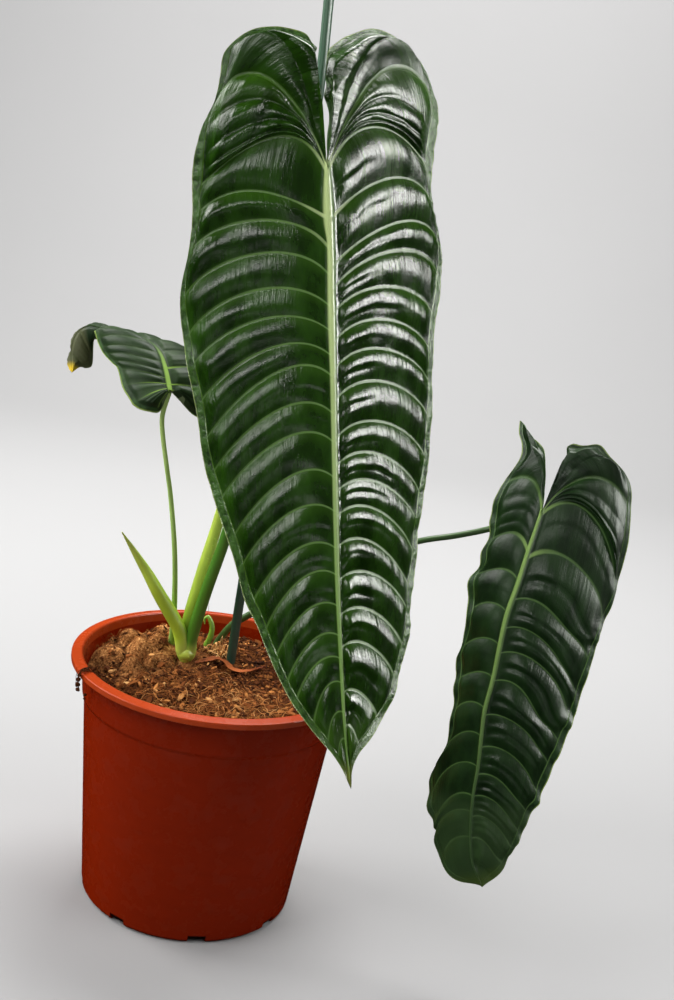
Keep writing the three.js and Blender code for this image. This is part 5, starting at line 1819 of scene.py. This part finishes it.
def hanging_blade(name, spec, slot_name, look, node, pitch):
    """Builds one hanging blade from its two halves."""
    midrib = Midrib(spec)
    stations = midrib_stations(spec, midrib.total, pitch)
    halves = [(sign, blade_half(spec, midrib, side, stations)) for sign, side in SIDES]
    finish_piece(blade_piece(name, halves), blade_finish(slot_name, look), slot_name, node)
    return {"FINISHED"}


class PLANT_OT_large_blade(bpy.types.Operator):
    """The long quilted blade"""

    bl_idname = "house_plant.large_blade"
    bl_label = "Large blade"

    def execute(self, context):
        return hanging_blade(
            "large_blade_quilted", LARGE, "leaf_glossy", GLOSSY_BLADE, "blade_large", FINE_PITCH
        )


class PLANT_OT_right_blade(bpy.types.Operator):
    """The narrow dark blade"""

    bl_idname = "house_plant.right_blade"
    bl_label = "Right blade"

    def execute(self, context):
        return hanging_blade(
            "right_blade_quilted", RIGHT, "leaf_dark", SATIN_BLADE, "blade_right", FINER_PITCH
        )


class PLANT_OT_left_blade(bpy.types.Operator):
    """The small arching blade"""

    bl_idname = "house_plant.left_blade"
    bl_label = "Left blade"

    def execute(self, context):
        stations = midrib_stations(LEFT, 1.0, LEFT_PITCH)
        halves = [(sign, arching_half(LEFT, side, stations)) for sign, side in SIDES]
        made = blade_piece("left_blade_arching", halves)
        finish_piece(made, blade_finish("leaf_matte", MATT_BLADE), "leaf_matte", "blade_left")
        return {"FINISHED"}


class PLANT_OT_sheath(bpy.types.Operator):
    """Dried ribbon on the mix"""

    bl_idname = "house_plant.sheath"
    bl_label = "Dried sheath"

    def execute(self, context):
        made = piece("dried_sheath_ribbon", *ribbon_grid(SHEATH))
        look = stem_finish("dried_skin", *DRIED_COLOURS, rough=0.7, coat=0.0, streak=0.8, specular=0.1)
        finish_piece(made, look, "dried", "dried_sheath")
        return {"FINISHED"}


class PLANT_OT_stage(bpy.types.Operator):
    """Pale floor that runs up into a backdrop, soft lights and the camera"""

    bl_idname = "house_plant.stage"
    bl_label = "Stage"

    def execute(self, context):
        s = context.scene.house_plant_stage
        scene = context.scene
        self.backdrop(s)
        for name, (azimuth, elevation, distance, size, power, share, left_out) in LIGHTS.items():
            lamp = self.light(name, azimuth, elevation, distance, size, getattr(s, power) * share)
            lamp.visible_diffuse = left_out != "diffuse"
            lamp.visible_glossy = left_out != "glossy"
        bpy.data.objects["backdrop_wash"].rotation_euler = (math.radians(WASH_TILT), 0, 0)
        world = bpy.data.worlds.new("studio")
        world.use_nodes = True
        background = world.node_tree.nodes["Background"]
        background.inputs["Color"].default_value = (*SKY_COLOUR, 1.0)
        background.inputs["Strength"].default_value = s.sky_strength
        world.cycles_visibility.glossy = False
        scene.world = world
        scene.view_settings.view_transform = "Standard"
        self.camera(scene)
        return {"FINISHED"}

    def backdrop(self, s):
        """A floor strip that bends up into a wall along a quarter circle."""
        x = np.linspace(-BACKDROP_REACH, BACKDROP_REACH, 12)
        bend = np.linspace(0, np.pi / 2, 24)
        rise = FLOOR_LEVEL + BEND_RADIUS * (1 - np.cos(bend))
        depth = BEND_START + BEND_RADIUS * np.sin(bend)
        y = np.concatenate([[-4000, 500], depth, depth[-1:]])
        z = np.concatenate([[FLOOR_LEVEL, FLOOR_LEVEL], rise, [BACKDROP_REACH]])
        points = np.stack(np.broadcast_arrays(x[None], y[:, None], z[:, None]), -1)
        quads = grid_faces(len(y), len(x))
        made = piece("backdrop", points.reshape(-1, 3), quads)
        f = Finish("backdrop_paper")
        tone = f.noise(f.place(), 3.0, 2, 0.5)
        colour = tuple(s.floor_colour)
        base = f.mix(tone, tuple(c * 0.97 for c in colour), colour)
        made.data.materials.append(f.surface(Base_Color=base, Roughness=0.85))
        made.visible_glossy = False

    def light(self, name, azimuth, elevation, distance, size, power):
        """Rectangular light that looks at the plant's middle from an azimuth off the camera's side."""
        data = bpy.data.lights.new(name, "AREA")
        data.shape = "RECTANGLE"
        data.size, data.size_y = size
        data.energy = power
        data.color = LIGHT_COLOUR
        a, e = math.radians(azimuth), math.radians(elevation)
        target = Vector(LIGHT_TARGET)
        way = Vector((math.sin(a) * math.cos(e), -math.cos(a) * math.cos(e), math.sin(e)))
        made = bpy.data.objects.new(name, data)
        made.location = target + way * distance
        made.rotation_euler = (-way).to_track_quat("-Z", "Y").to_euler()
        bpy.context.scene.collection.objects.link(made)
        return made

    def camera(self, scene):
        """Camera pitched down and rolled about its own line of sight."""
        e, r = math.radians(CAMERA_PITCH), math.radians(CAMERA_ROLL)
        ahead = Vector((0, math.cos(e), -math.sin(e)))
        flat, level = Vector((1, 0, 0)), Vector((0, math.sin(e), math.cos(e)))
        right = flat * math.cos(r) - level * math.sin(r)
        up = flat * math.sin(r) + level * math.cos(r)
        data = bpy.data.cameras.new("camera")
        data.lens = CAMERA_LENS
        data.sensor_width = CAMERA_SENSOR
        data.clip_start, data.clip_end = 0.05, 50
        made = bpy.data.objects.new("camera", data)
        turn = Matrix((right, up, -ahead)).transposed().to_4x4()
        made.matrix_world = Matrix.Translation(Vector(CAMERA_AT) * MM) @ turn
        scene.collection.objects.link(made)
        scene.camera = made


STEPS = (
    PLANT_OT_pot,
    PLANT_OT_mix,
    PLANT_OT_stake,
    PLANT_OT_stems,
    PLANT_OT_large_blade,
    PLANT_OT_right_blade,
    PLANT_OT_left_blade,
    PLANT_OT_sheath,
    PLANT_OT_stage,
)


class PLANT_PT_panel(bpy.types.Panel):
    """Lists the plant's pieces and their settings"""

    bl_label = "House plant"
    bl_idname = "PLANT_PT_panel"
    bl_space_type = "VIEW_3D"
    bl_region_type = "UI"
    bl_category = "House plant"

    def draw(self, context):
        """Draws a button for each step, then every setting."""
        for step in STEPS:
            self.layout.operator(step.bl_idname)
        for key, group in GROUPS.items():
            for name in group.__annotations__:
                self.layout.prop(getattr(context.scene, key), name)


GROUPS = {
    "house_plant_pot": PotSettings,
    "house_plant_mix": MixSettings,
    "house_plant_stage": StageSettings,
}


def register():
    """Registers the classes and gives the scene their settings."""
    for group in (*GROUPS.values(), *STEPS, PLANT_PT_panel):
        bpy.utils.register_class(group)
    for name, group in GROUPS.items():
        setattr(bpy.types.Scene, name, bpy.props.PointerProperty(type=group))


def unregister():
    """Takes the settings and the classes away again."""
    for name in GROUPS:
        delattr(bpy.types.Scene, name)
    for group in (PLANT_PT_panel, *reversed(STEPS), *GROUPS.values()):
        bpy.utils.unregister_class(group)


def main():
    """Builds every piece and the stage in order."""
    register()
    for step in STEPS:
        family, name = step.bl_idname.split(".")
        getattr(getattr(bpy.ops, family), name)()


if __name__ == "__main__":
    main()
